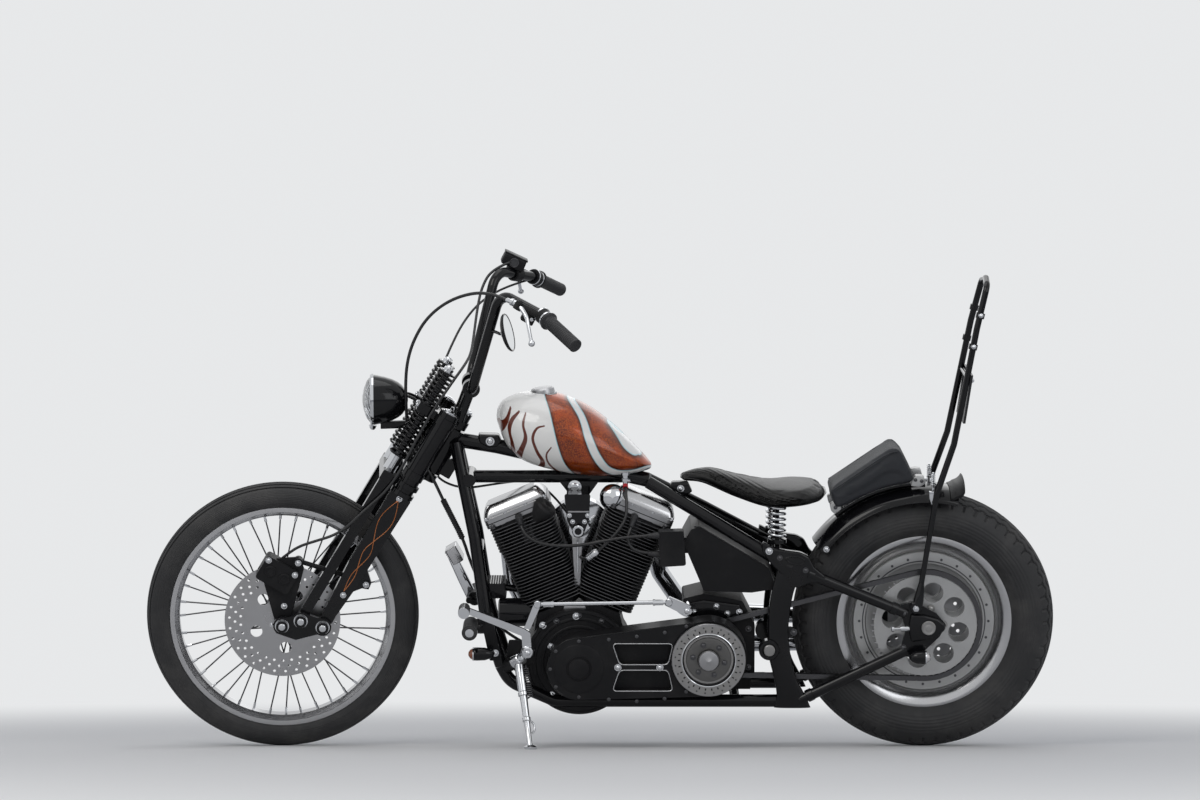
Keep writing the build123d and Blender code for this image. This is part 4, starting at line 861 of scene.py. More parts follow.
fork = {"legBack": 40.0, "springLeg": 96.0, "legAcross": 90.0, "springAcross": 58.0,
        "drop": stance["forkDrop"], "legFoot": -stance["forkDrop"] + 48,
        "springFoot": -stance["forkDrop"] + 35, "coil": 21.4, "wire": 3.5}
lowSpots = [((fork["springLeg"], s * fork["springAcross"], -103), (0, 0, 1)) for s in (1, -1)]
highSpots = [((fork["springLeg"], s * fork["springAcross"], 45), (0, 0, 1)) for s in (1, -1)]
lowCoils = coils("lowerForkSprings", lowSpots, 9.5, fork["coil"], 120, fork["wire"], glossBlack, onFork)
highCoils = coils("upperForkSprings", highSpots, 7.5, fork["coil"], 90, fork["wire"], glossBlack, onFork)
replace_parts(lowCoils, "fork_springs")
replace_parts(highCoils, "fork_springs")
rods, collars, sleeves = [], [], []
for s, mark in bothSides:
    e, y = fork["springLeg"], s * fork["springAcross"]
    rods.append(barSpot((e, y, -106), (e, y, 150), 9))
    collars += [barSpot((e, y, low), (e, y, low + 5), 23) for low in (-107, 15, 42, 134)]
    sleeves.append(barSpot((e, y, -151), (e, y, -107), 16.5))
    roundPiece("springCap" + mark, (e, y, 139), (e, y, 160), acorn(13, 17), chrome, onFork)
    roundPiece("legCap" + mark, (fork["legBack"], s * fork["legAcross"], 56),
        (fork["legBack"], s * fork["legAcross"], 70), acorn(16, 8), chrome, onFork)
copies("springRods", barShape(20), rods, darkSteel, onFork)
copies("springCollars", barShape(28), collars, glossBlack, onFork)
copies("springSleeves", barShape(28), sleeves, chrome, onFork)
roundPiece("stemNut", (0, 0, 62), (0, 0, 80), acorn(19, 14), chrome, onFork, steps=6, angle=20)
perchSpots = [((e, s * y, z), (1, 0, 0) if e > 110 else (0, 0, 1)) for s in (1, -1)
    for e, y, z in ((118, 40, 31), (118, 72, 31), (70, 30, 42), (24, 66, 42))]
bolts("perchBolts", perchSpots, 6, 4, chrome, onFork)
tubePiece("perchLoop", [(116, 22, 31), (140, 20, 30), (152, 10, 26), (152, -10, 26), (140, -20, 30),
    (116, -22, 31)], 4, glossBlack, onFork)
rockerNuts = (("Leg", fork["legBack"], fork["legFoot"]), ("Spring", fork["springLeg"], fork["springFoot"]),
    ("Axle", stance["forkOffset"], -fork["drop"]))
for s, mark in bothSides:
    for label, e, z in rockerNuts:
        roundPiece("rockerNut" + label + mark, (e, s * 117, z), (e, s * 130, z), acorn(14.5, 14), chrome,
            onFork, steps=36)
    face = s * 103.4
    for k, bend in enumerate((1, -1)):
        tubePiece("legLine" + mark + str(k), [(40, face, -200), (40 + 14 * bend, face, -232),
            (40 + 19 * bend, face, -270), (40 + 2 * bend, face, -318), (40 - 12 * bend, face, -352),
            (40 - 3 * bend, face, -392), (40 + 8 * bend, face, -428), (40, face, -470)], 1.3, ornamentPaint,
            onFork, sides=6)
    bolts("legBolts" + mark, sideSpots(s * 103, (40, -195), (36, -480)), 6, 4, chrome, onFork)
caliperE, caliperS = stance["forkOffset"] + 74, -fork["drop"] + 106
for k, (e, z, r) in enumerate(((caliperE - 20, caliperS - 3, 15), (caliperE + 20, caliperS - 3, 15))):
    roundPiece("caliperPot" + str(k), (e, 96.6, z), (e, 110, z), [(0, 0.01), (0, r), (3, r - 0.6),
        (4, r - 2), (4, r - 5), (2.5, r - 6), (2.5, 0.01)], castBlack, onFork)
bolts("caliperBolts", [((caliperE - 30, 93, caliperS + 50), (0, 1, 0)), ((0, 104, -428), (0, 1, 0)),
    ((caliperE - 38, 97, caliperS + 20), (0, 1, 0)), ((caliperE + 38, 97, caliperS + 20), (0, 1, 0)),
    ((148, 85, -fork["drop"] + 40), (0, 1, 0))], 6, 4.5, chrome, onFork)

lampMiddle = forkFrame @ Matrix.Translation((188.8, 0, -11.95))
lampLevel = lampMiddle @ Matrix.Rotation(math.radians(stance["rake"]), 4, "Y")
onLamp = (lampLevel @ Matrix.Rotation(math.radians(-90), 4, "Z"), "fork")
bowl = [
    (-58, 0.01), (-56.5, 13), (-51, 26), (-43, 37), (-33, 45), (-18, 52.5), (0, 58), (22, 62.5), (28, 63.4),
    (28, 58), (0, 54), (-30, 42), (-48, 24), (-54, 0.01)]
lampBowl = turned("lampBowl", bowl, glossBlack, onLamp, steps=72)
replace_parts(lampBowl, "headlamp")
turned("lampRim", [(28, 61.5), (28, 63.5), (29, 66), (33, 66), (37, 63.5), (38, 59), (35, 57), (31, 58)],
    chrome, onLamp, steps=72, angle=25)
turned("lampReflector", [(33, 57.5), (22, 52), (4, 42), (-12, 28), (-22, 8), (-23, 0.01), (-25, 0.01),
    (-24, 9), (-14, 30), (2, 44.5), (20, 55), (30, 58)], chrome, onLamp, steps=64)
turned("lampGlass", [(34, 58.2), (39, 56), (46.5, 46), (52.5, 30), (56, 14), (57, 0.01), (54, 0.01),
    (53, 14), (49.5, 29), (43.5, 45), (36, 54.5), (33, 57)], lampLens, onLamp, steps=72, angle=70)
turned("lampBulb", [(-23, 0.01), (-23, 9), (-6, 9), (2, 8), (6, 5), (7, 0.01)], chrome, onLamp, steps=24)
bracketPoints = [(1268, 888), (1284, 894), (1304, 846), (1376, 844), (1376, 826), (1290, 828)]
rakeCos, rakeSin = math.cos(math.radians(stance["rake"])), math.sin(math.radians(stance["rake"]))
bracketPoints = [((x - 1196) * rakeCos + (z - 813) * rakeSin, (z - 813) * rakeCos - (x - 1196) * rakeSin)
                 for x, z in bracketPoints]
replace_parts(block("lampBracket", bracketPoints, -9, 9, 2, glossBlack, onFork), "headlamp")
roundPiece("lampBolt", (182, 0, -84), (176, 0, -96), acorn(9, 12), chrome, onFork, steps=6, angle=20)

mirror = {"middle": Vector((31, 193, 322)), "facing": Vector((-0.673, 0.214, 0.703)).normalized()}
onMirror = (forkFrame @ aimed(mirror["middle"], mirror["middle"] + mirror["facing"]), "fork")
mirrorShell = turned("mirrorShell", [(0, 44), (0.4, 47), (-1, 48), (-4, 47.6), (-8, 44), (-12, 35),
    (-15, 20), (-16, 0.01), (-14, 0.01), (-13, 20), (-9, 34), (-2, 43)], glossBlack, onMirror, steps=72)
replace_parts(mirrorShell, "mirror")
turned("mirrorGlass", [(-0.6, 0.01), (-0.6, 44.4), (-2.6, 44.4), (-2.6, 0.01)], mirrorFinish, onMirror,
    steps=72)
stemFoot = Vector((69, 139, 294))
stemTop = mirror["middle"] - mirror["facing"] * 14
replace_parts(tubePiece("mirrorStem", [stemTop, stemTop - mirror["facing"] * 8, (stemTop + stemFoot) / 2,
    stemFoot], 4, glossBlack, onFork), "mirror")
roundPiece("mirrorJoint", stemTop + mirror["facing"] * 4, stemTop - mirror["facing"] * 10,
    [(0, 0.01), (0, 9), (6, 9), (10, 7), (13, 0.01)], chrome, onFork, steps=24)

grip = {"start": Vector((-6, 282, 412)), "end": Vector((-99, 400, 404)), "length": 118.0}
gripOutline = ([(-6, 13), (-6, 22), (-4, 23), (-1, 23), (1, 21), (3, 18), (8, 16.2)]
               + ribbed(17, 6, (11, 14.4, 15, 16.4), 16.9, 16.2)
               + [(113.4, 17), (118, 17), (119.6, 14.5), (119.6, 0.01), (116, 0.01), (116, 12.9)])
for s, mark in ((1, "Left"), (-1, "Right")):
    flip = Vector((1, s, 1))
    start, end = grip["start"] * flip, grip["end"] * flip
    way = (end - start).normalized()
    near = end - way * grip["length"]
    gripPiece = roundPiece("grip" + mark, near, end, gripOutline, softRubber, onFork, steps=40, angle=25)
    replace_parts(gripPiece, "hand_controls")
    roundPiece("clamp" + mark, near - way * 36, near, [(0, 12.9), (0, 18), (2, 20), (28, 20), (30, 18),
        (30, 12.9)], castBlack, onFork, steps=40)
    for k, along in enumerate((-34, -14)):
        roundPiece("clampRing" + mark + str(k), near + way * along, near + way * (along + 5),
            [(0, 19.6), (0, 20.6), (4, 20.6), (4, 19.6)], chrome, onFork, steps=40)
    pivot, elbow, tip = (Vector(p) * flip for p in ((56, 286, 405), (26, 309, 392), (-8, 373, 352)))
    middle = near - way * 18
    tubePiece("perch" + mark, [middle, (middle + pivot) / 2, pivot], 9, castBlack, onFork)
    roundPiece("perchPivot" + mark, pivot - Vector((0, 0, 12)), pivot + Vector((0, 0, 12)),
        [(0, 0.01), (0, 10), (1, 11), (21, 11), (22, 8), (25, 6), (26, 0.01)], castBlack, onFork, steps=32)
    tubePiece("lever" + mark, [pivot, (pivot + elbow) / 2 + Vector((4, 0, 3)), elbow,
        (elbow + tip) / 2 + Vector((5, 0, 4)), tip], [6.5, 6, 5.5, 5, 4.5, 4.5], chrome, onFork, sides=16)
    roundPiece("leverBall" + mark, tip - way * 8.3, tip + way * 8.3,
        [(8.3 - 8.3 * math.cos(a), max(8.3 * math.sin(a), 0.01)) for a in np.linspace(0, math.pi, 13)],
        chrome, onFork, steps=24)
roundPiece("cableAdjuster", (62, 280, 404), (96, 249, 395), [(0, 4.2), (0, 8), (6, 8), (7, 6), (9, 6),
    (9, 9), (16, 9), (17, 6), (30, 6), (33, 4.2)], chrome, onFork, steps=20)
block("switchHousing", [(0, 374), (34, 374), (36, 402), (2, 404)], 252, 276, 4, castBlack, onFork,
    segments=3)
roundPiece("switchPill", (10, 276, 390), (10, 282, 390), [(0, 0.01), (0, 5), (4, 5), (5, 3.5), (5, 0.01)],
    chrome, onFork, steps=20)
block("brakeReservoir", [(32, 414), (94, 410), (96, 440), (36, 446)], -252, -206, 5, castBlack, onFork,
    segments=3)
block("reservoirLid", [(34, 444), (97, 438), (97.4, 443), (34.4, 449)], -250, -208, 1.5, satinBlack, onFork)
roundPiece("reservoirWindow", (64, -206, 428), (64, -200, 428), [(0, 0.01), (0, 12), (2.5, 12), (3, 10),
    (1.6, 9), (1.6, 0.01)], darkSteel, onFork, steps=32)
roundPiece("reservoirNeck", (47, -222, 401.7), (33, -238, 404.4), [(-6, 13), (-6, 19), (20, 19), (20, 13)],
    castBlack, onFork, steps=32)
print("fork made")


# Engine

def roundedRect(halfX, halfY, corner, z, steps=5):
    points = []
    for cx, cy, start in ((halfX - corner, halfY - corner, 0), (corner - halfX, halfY - corner, 90),
                          (corner - halfX, corner - halfY, 180), (halfX - corner, corner - halfY, 270)):
        for k in range(steps + 1):
            angle = math.radians(start + 90 * k / steps)
            points.append((cx + corner * math.cos(angle), cy + corner * math.sin(angle), z))
    return points


def stacked(rings, looped=False):
    # a skin through rings of the same number of points
    count = len(rings[0])
    vertices = [p for ring in rings for p in ring]
    faces = []
    total = len(rings)
    for k in range(total if looped else total - 1):
        here, there = k * count, (k + 1) % total * count
        faces += [(here + s, here + (s + 1) % count, there + (s + 1) % count, there + s)
                  for s in range(count)]
    if not looped:
        faces += [tuple(range(count))[::-1], tuple(range((total - 1) * count, total * count))]
    return vertices, faces


def skinned(name, rings, material, on=onFrame, angle=35, looped=False):
    return addPiece(name, builtMesh(name, *stacked(rings, looped), on[0]), material, on[1], angle)


engine = {"crank": (875.0, 242.0), "slant": 22.5, "finFrom": 158.0, "headFrom": 322.0, "headTo": 394.0,
          "pitch": 8.5, "finThick": 2.3, "halfLong": 78.0, "halfWide": 75.0, "corner": 30.0}


def cylinderFrame(side):
    angle = math.radians(engine["slant"]) * side
    c, s = math.cos(angle), math.sin(angle)
    return upright @ Matrix(((c, 0, s, engine["crank"][0]), (0, 1, 0, 0), (-s, 0, c, engine["crank"][1]),
        (0, 0, 0, 1)))


finShape = stacked([roundedRect(engine["halfLong"], engine["halfWide"], engine["corner"], z)
                    for z in (0, engine["finThick"])])
rimRings = [roundedRect(engine["halfLong"] + grow, engine["halfWide"] + grow, engine["corner"] + grow, z)
            for grow, z in ((-1, 0.2), (0.6, 0.5), (0.6, 1.8), (-1, 2.1))]
rimShape = stacked(rimRings, looped=True)
for side, mark in ((1, "Front"), (-1, "Rear")):
    onCylinder = (cylinderFrame(side), "root")
    spots = []
    height = engine["finFrom"]
    while height < engine["headTo"] - engine["finThick"]:
        grow = 1.04 if height > engine["headFrom"] else 1.0
        spots.append(((0, 0, height), (0, 0, 1), (grow, grow, 1)))
        height += engine["pitch"]
    fins = copies("fins" + mark, finShape, spots, castBlack, onCylinder)
    copies("finEdges" + mark, rimShape, spots, finEdge, onCylinder)
    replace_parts(fins, "cylinders")
    barrel = ((60, 58, 56, 138), (60, 58, 56, 318), (66, 62, 30, 322), (66, 62, 30, 396))
    skinned("barrel" + mark, [roundedRect(*ring, 6) for ring in barrel], castBlack, onCylinder)
    well = [[(x, y + 52, z) for x, y, z in roundedRect(13, 24, 8, z)] for z in (326, 392)]
    skinned("plugWell" + mark, well, castBlack, onCylinder)
    lid = ((84.6, 60.6, 16, 421), (84.8, 60.8, 16, 424), (80, 56, 16, 434), (72, 48, 14, 444),
        (66, 42, 12, 448.6), (60, 36, 10, 449.4))
    skinned("rockerLid" + mark, [roundedRect(*ring, 6) for ring in lid], polishedAluminium, onCylinder, 30)
    seam = ((-1, 405), (0.5, 405.5), (0.5, 407.5), (-1, 408))
    skinned("rockerSeam" + mark, [roundedRect(85.9 + g, 61.9 + g, 16, z, 6) for g, z in seam], castBlack,
        onCylinder, looped=True)
    rockerSpots = [((x, y, 419), (0, 0, 1)) for x in (-79, -28, 28, 79) for y in (-56.5, 56.5)]
    bolts("rockerBolts" + mark, rockerSpots, 4.5, 5, chrome, onCylinder)
    headSpots = [((x, y, 396), (0, 0, 1)) for x in (-70, 70) for y in (-66, 66)]
    bolts("headBolts" + mark, headSpots, 6, 6, darkSteel, onCylinder)

for name, start, tip in (("Front", (1026, 70, 608), (1020, 101, 593)),
        ("Rear", (736, 70, 607), (745, 99, 587))):
    roundPiece("plugBoot" + name, start, tip, [(-6, 4), (-6, 9.5), (8, 9.5), (10, 8), (14, 8), (16, 7),
        (30, 6), (34, 5.6), (34, 4)], softRubber, steps=24)
for name, start, tip in (("Front", (678, 117, 571.8), (704, 119.5, 571.5)),
        ("Rear", (676, 104, 521), (702, 106, 523.5))):
    roundPiece("coilBoot" + name, start, tip, [(-4, 4), (-4, 8.5), (10, 8), (12, 7), (20, 6), (26, 5.4),
        (26, 4)], softRubber, steps=24)
roundPiece("fuelFilter", (853, 88, 506), (821, 102, 534), [(-2, 4), (-2, 6), (2, 9), (4, 10.5), (6, 10.5),
    (6.5, 9), (9, 9), (9.5, 10.5), (12, 10.5), (12.5, 9), (15, 9), (15.5, 10.5), (18, 10.5), (18.5, 9),
    (21, 9), (21.5, 10.5), (25, 10.5), (27, 10.5), (32, 9), (36, 6), (38, 6), (38, 4)], chrome, steps=32,
    angle=25)
petcock = roundPiece("petcock", (758, 50, 722), (758, 50, 684), [(0, 0.01), (0, 11), (8, 11), (9, 8),
    (16, 8), (17, 10), (24, 10), (25, 7), (38, 6), (38, 0.01)], chrome, steps=28)
roundPiece("petcockLever", (758, 50, 702), (742, 62, 700), [(0, 0.01), (0, 5), (16, 4), (17, 0.01)], chrome,
    steps=20)
roundPiece("petcockBand", (758, 51, 690), (757.4, 62, 680), [(-1, 4), (-1, 6.6), (10, 6.2), (10, 4)],
    redPlastic, steps=24)
roundPiece("topMountBolt", (886, 11, 676), (886, 30, 676), [(0, 0.01), (0, 17), (3, 17), (4, 14), (5, 11),
    (9, 11), (10, 9), (10, 0.01)], chrome, steps=40, angle=25)
bolts("bracketBolts", sideSpots(70, (899, 614), (853, 614), (891, 598), (861, 598)), 4.6, 4, chrome)
block("bracketEdge", [(850, 622), (903, 622), (903, 626), (850, 626)], 62, 74, 1, satinAluminium)
roundPiece("chokeKnob", (877, 68, 577), (877, 96, 577), [(0, 0.01), (0, 9), (14, 9), (14, 14), (16, 15),
    (22, 15), (24, 13), (24, 9), (22, 7), (22, 0.01)], chrome, steps=40, angle=25)
block("intakePlate", [(866, 556), (893, 556), (888, 470), (886, 430), (872, 430), (870, 470)], 56, 62, 2,
    satinAluminium)
tubePiece("chokeRod", [(878, 80, 556), (878, 82, 520), (878, 80, 470)], 2.2, chrome, sides=8)
roundPiece("hornBell", (790, 34, 655), (790, 72, 655), [(0, 0.01), (0, 33), (14, 33), (22, 29), (29, 21),
    (33, 11), (35, 0.01)], chrome, steps=56, angle=40)
roundPiece("intakeCone", (992, 62, 596), (950, 80, 648), [(0, 0.01), (0, 12), (18, 16), (44, 29), (56, 30),
    (62, 26), (64, 12), (60, 0.01)], castBlack, steps=40, angle=30)
tubePiece("intakeHose", [(998, 58, 590), (1000, 62, 566), (985, 66, 548), (962, 64, 540)], [10, 10, 9, 9],
    softRubber, sides=16)

# Crankcase trim, primary cover and clutch
onCase = (upright @ Matrix.Translation((engine["crank"][0], 0, engine["crank"][1])), "root")
turned("caseArcs", [(99, 88), (103, 90), (103, 94), (101, 96), (101, 108), (103, 110), (103, 114),
    (101, 116), (101, 126), (103, 128), (102, 134.6), (97, 134.6), (97, 88)], castBlack, onCase, steps=120,
    angle=25)
bolts("caseBolts", aroundAxis(121, 101, (62, 90, 118, 150)), 5.5, 4, darkSteel, onCase)
bolts("caseFrontBolts", sideSpots(101, (946, 284), (944, 158)), 6.5, 4, chrome)
block("casePlate", [(856, 372), (916, 372), (912, 382), (860, 382)], 68, 76, 2, satinAluminium)
bolts("caseTopBolt", [((882, 103, 362), (0, 1, 0)), ((966, 101, 338), (0, 1, 0))], 7, 5, chrome)
turned("primaryNose", [(171, 30), (174, 32), (174.5, 56), (173, 62), (171, 64), (169, 64), (169, 30)],
    satinBlack, onCase, steps=96, angle=25)
turned("primaryCap", [(171, 0.01), (176, 0.01), (176.4, 22), (175, 26), (171, 28)], satinBlack, onCase,
    steps=64, angle=25)
bolts("primaryBolts", sideSpots(172, (777, 246), (672, 246)), 7, 5, chrome)
bolts("coverBolts", sideSpots(172, (875, 314), (933, 288), (947, 242), (933, 196), (875, 170), (800, 318),
    (730, 326), (660, 336), (800, 164), (730, 159), (660, 166), (606, 352), (606, 184)), 4, 3, darkSteel,
    sides=6, dome=0.2, washer=1.2)
onClutch = (upright @ Matrix.Translation((550, 0, 268)), "root")
turned("clutchRing", [(180, 62), (186, 63), (186, 65.5), (180.5, 66)], castBlack, onClutch, steps=96)
turned("clutchDisc", [(180, 26), (183.5, 27), (184.5, 30), (184.5, 53), (183.5, 56), (180, 57)], clutchGrey,
    onClutch, steps=96, angle=25)
turned("clutchBright", [(186, 65.4), (190.6, 66), (191.2, 67.4), (190.4, 68.8), (188, 69)], chrome,
    onClutch, steps=96, angle=50)
slots = [(onCircle(72, 189.2, a), onCircle(1, 0, a), (2, 2, 5.5)) for a in np.radians(np.arange(0, 360, 12))]
copies("clutchSlots", barShape(8), slots, castBlack, onClutch)
rivets = [(onCircle(84, 189.4, a), (0, 1, 0), (2.2, 2.2, 1.6)) for a in np.radians(np.arange(6, 366, 15))]
copies("clutchRivets", barShape(10), rivets, darkSteel, onClutch)
turned("clutchBand", [(176, 92.2), (176, 92.8), (186, 92.8), (190.4, 90), (190.4, 88), (186, 91)],
    satinAluminium, onClutch, steps=128, angle=25)
bolts("clutchBolts", aroundAxis(40, 184.5, np.arange(10, 370, 60)), 5.6, 3, darkSteel, onClutch, sides=12,
    dome=0.3, washer=1.35)
turned("clutchNut", [(193, 0.01), (193, 25.6), (197, 25.6), (199.5, 24), (200.5, 21), (201.5, 13), (203, 7),
    (206, 0.01)], satinAluminium, onClutch, steps=64, angle=25)
block("gearboxBracket", [(455, 352), (600, 352), (600, 388), (560, 396), (470, 384)], 62, 72, 3, glossBlack)
bolts("gearboxBolts", sideSpots(72, (470, 366), (584, 366), (528, 380), (500, 362)), 6, 4.5, chrome)
bolts("gearboxSide", sideSpots(62, (446, 220), (446, 320), (585, 215), (585, 340), (500, 214)), 6, 5,
    darkSteel)
roundPiece("filterRim", (1076, 40, 358), (1082, 40, 358), [(-4, 30), (-4, 35.9), (0, 35), (3, 30), (4, 22),
    (4, 0.01), (0, 0.01)], glossBlack, steps=56, angle=25)
copies("regulatorFins", stacked([roundedRect(2, 48, 1.5, z, 2) for z in (0, 40)]),
    [((1062 + 6.2 * k, 0, 395), (0.07, 0, 0.99), (1, 1, 1)) for k in range(8)], castBlack)
for k, (foot, head) in enumerate((((34, 340), (138, 625)), ((12, 346), (109, 637)))):
    for side in (1, -1):
        base = Vector((875 + side * foot[0], -92, foot[1]))
        top = Vector((875 + side * head[0], -92, head[1]))
        way = (top - base).normalized()
        for j, (along, radius) in enumerate(((20, 12.5), (120, 10.6), ((top - base).length - 40, 12.5))):
            roundPiece("pushrodCollar{}{}{}".format(k, "F" if side > 0 else "R", j), base + way * along,
                base + way * (along + 14), [(0, 8.8), (0, radius), (12, radius), (14, 8.8)], chrome,
                steps=28)
for k, (x, z) in enumerate(((180, 236), (180, 300))):
    roundPiece("pipeMouth" + str(k), (x - 0.5, -160, z), (x + 20, -160, z),
        [(0, 23.3), (0, 20), (2, 19.5), (2, 0.01), (0.2, 0.01), (-0.2, 19), (-0.6, 21), (-0.6, 23.3)],
        darkSteel, steps=40)
for k, (a, b) in enumerate((((1050, -70, 560), (1062, -150, 536)), ((700, -70, 560), (690, -150, 536)))):
    roundPiece("pipeFlange" + str(k), a, b, [(-6, 22), (-6, 31), (4, 31), (4, 23)], darkSteel, steps=32)
turned("airCleanerRing", [(-186.5, 40), (-188, 44), (-188, 60), (-186.5, 64), (-183.5, 64), (-183.5, 40)],
    satinAluminium, (upright @ Matrix.Translation((875, 0, 530)), "root"), steps=72, angle=25)
bolts("airCleanerBolts", aroundAxis(52, -187.5, (90, 210, 330), (875, 530), -1), 5, 3, darkSteel)
print("engine made")


# Fuel tank and its paint

tank = {
    "sections": ((1083.5, 857, 857, 0.5), (1082, 845, 869, 15), (1078, 833, 882, 28), (1062, 790, 900, 68),
        (1020, 746, 916, 100), (950, 722, 920, 116), (860, 706, 888, 112), (780, 706, 828, 92),
        (724, 714, 772, 58), (697, 721, 741, 24), (692, 727, 733, 4)),
    "along": 230,
    "around": 216,
    "front": ((964, 1.0), (948, 0.81), (937, 0.60), (927, 0.41), (911, 0.19), (884, 0.0)),
    "bands": (((902, 1.02, 4), (868, 0.87, 7), (849, 0.62, 9), (830, 0.40, 9.5), (803, 0.20, 9),
        (765, 0.11, 8.5), (727, 0.16, 7), (702, 0.4, 6), (690, 0.6, 5)),
        ((803, 1.0, 0.5), (778, 0.95, 4), (754, 0.90, 9), (733, 0.92, 9), (722, 1.0, 4))),
    "licks": (((1046, 0.86, 1.5), (1054, 0.66, 2.6), (1066, 0.46, 3.6), (1076, 0.30, 4.6)),
        ((1024, 0.80, 1.4), (1042, 0.66, 2.6), (1049, 0.46, 3.4), (1042, 0.24, 4.0), (1040, 0.05, 5.5)),
        ((1008, 0.78, 1.4), (1014, 0.62, 2.5), (1008, 0.44, 3.6), (1018, 0.24, 4.2), (1026, 0.08, 5.5)),
        ((960, 0.64, 1.3), (980, 0.59, 2.0), (990, 0.45, 2.8), (980, 0.28, 3.4), (966, 0.14, 4.4),
            (972, 0.0, 6)),
        ((944, 0.38, 1.3), (956, 0.26, 1.7), (950, 0.13, 2.2), (926, 0.0, 3.4))),
}


def smoothThrough(points, count):
    # a smooth line through rows of numbers
    rows = np.array(points, float)
    rows = np.vstack([2 * rows[0] - rows[1], rows, 2 * rows[-1] - rows[-2]])
    out = []
    spans = len(rows) - 3
    for k in range(count):
        t = k / (count - 1) * spans
        i = min(int(t), spans - 1)
        t -= i
        a, b, c, d = rows[i:i + 4]
        bend, sway = 2 * a - 5 * b + 4 * c - d, 3 * b - a - 3 * c + d
        out.append(0.5 * (2 * b + (c - a) * t + bend * t * t + sway * t ** 3))
    return np.array(out)


stations = smoothThrough(tank["sections"], tank["along"])
# evens the curvature, and keeps both ends
kernel = np.hanning(27) / np.hanning(27).sum()
longer = np.pad(stations, ((13, 13), (0, 0)), mode="reflect", reflect_type="odd")
stations = np.column_stack([np.convolve(longer[:, k], kernel, "valid") for k in range(4)])
rings, sideways = [], []
for x, foot, top, half in stations:
    half, tall = max(half, 0.3), max((top - foot) / 2, 0.3)
    ring = []
    for k in range(tank["around"]):
        angle = 2 * math.pi * k / tank["around"]
        ring.append((x, half * math.cos(angle), (foot + top) / 2 + tall * math.sin(angle)))
        sideways.append((x, (math.sin(angle) + 1) / 2, 2 * tall))
    rings.append(ring)
sideways = np.array(sideways)


def edgeOf(line, halves, x, up):
    # signed distance to a stroke, in the tank's side view
    reach = np.full(len(x), 1e9)
    for (px, pz), half in zip(line, halves):
        reach = np.minimum(reach, np.hypot(x - px, up - pz) - half)
    return reach


tankMesh = bpy.data.meshes.new("fuelTank")
vertices, faces = stacked(rings)
tankMesh.from_pydata([upright @ Vector(v) for v in vertices], [], faces)
x, share, tall = sideways[:, 0], sideways[:, 1], sideways[:, 2]
up = share * np.maximum(tall, 60)


def tallAt(px):
    return max(float(np.interp(-px, -stations[:, 0], stations[:, 2] - stations[:, 1])), 60)


front = smoothThrough(tank["front"], 60)
front = front[np.argsort(front[:, 1])]
whiteEdge = (np.interp(share, front[:, 1], front[:, 0]) - x) * 0.9
for band in tank["bands"]:
    line = smoothThrough(band, 160)
    places = [(px, pv * tallAt(px)) for px, pv, half in line]
    whiteEdge = np.minimum(whiteEdge, edgeOf(places, line[:, 2], x, up))
flameEdge = np.full(len(x), 1e9)
for lick in tank["licks"]:
    line = smoothThrough(lick, 90)
    places = [(px, pv * tallAt(px)) for px, pv, half in line]
    flameEdge = np.minimum(flameEdge, edgeOf(places, line[:, 2] * 1.3, x, up))
for label, values in (("whiteEdge", whiteEdge), ("flameEdge", flameEdge)):
    attribute = tankMesh.attributes.new(label, "FLOAT", "POINT")
    attribute.data.foreach_set("value", np.clip(values, -50, 50).astype(np.float32))
withNormals(tankMesh)


def tankColour(tree):
    # metalflake orange under white scallops with a pale blue line, and thin brown flame licks
    coordinate = tree.nodes.new("ShaderNodeTexCoord").outputs["Object"]
    flake = tree.nodes.new("ShaderNodeTexVoronoi")
    flake.inputs["Scale"].default_value = 420
    tree.links.new(coordinate, flake.inputs["Vector"])
    cloud = noiseNode(tree, coordinate, 16.0, 5, 0.6)
    deep = mixColour(tree, ramp(tree, cloud, 0.35, 0.68), (0.10, 0.009, 0.002), (0.36, 0.045, 0.004))
    bright = mixColour(tree, ramp(tree, flake.outputs["Distance"], 0.0, 0.75), (0.58, 0.115, 0.008), deep)
    white = tree.nodes.new("ShaderNodeAttribute")
    white.attribute_name = "whiteEdge"
    shade = mixColour(tree, ramp(tree, white.outputs["Fac"], 0.5, 11.0), (0.06, 0.009, 0.002), bright)
    paleLine = mixColour(tree, ramp(tree, white.outputs["Fac"], 0.6, 1.4), (0.42, 0.66, 0.70), shade)
    painted = mixColour(tree, ramp(tree, white.outputs["Fac"], -1.2, -0.6), (0.86, 0.85, 0.82), paleLine)
    flame = tree.nodes.new("ShaderNodeAttribute")
    flame.attribute_name = "flameEdge"
    inFlame = ramp(tree, flame.outputs["Fac"], 0.35, -0.35)
    onWhite = ramp(tree, white.outputs["Fac"], -0.5, -3.0)
    return mixColour(tree, mathNode(tree, "MULTIPLY", inFlame, onWhite), painted, (0.12, 0.018, 0.006))


tankPaint = finish("tankPaint", (0.5, 0.1, 0.01), 0.34, coat=0.7, amount=0.03, grain=600, bump=0.02,
    shine=0.3, colourNode=tankColour)
paintTree = tankPaint.node_tree
orangePart = paintTree.nodes.new("ShaderNodeAttribute")
orangePart.attribute_name = "whiteEdge"
flakes = mathNode(paintTree, "MULTIPLY", ramp(paintTree, orangePart.outputs["Fac"], 0.6, 2.0), 0.5)
paintTree.links.new(flakes, surfaceOf(paintTree).inputs["Metallic"])
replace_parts(addPiece("fuelTank", tankMesh, tankPaint, "root", 60), "fuel_tank")
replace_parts(petcock, "fuel_tank")
roundPiece("tankCap", (966, 0, 914), (968.5, 0, 932), [(-8, 0.01), (-8, 34), (-3, 36), (0, 35), (1, 31),
    (9, 30), (12, 29), (15, 25), (16, 14), (16.5, 0.01)], satinAluminium, steps=72, angle=25)
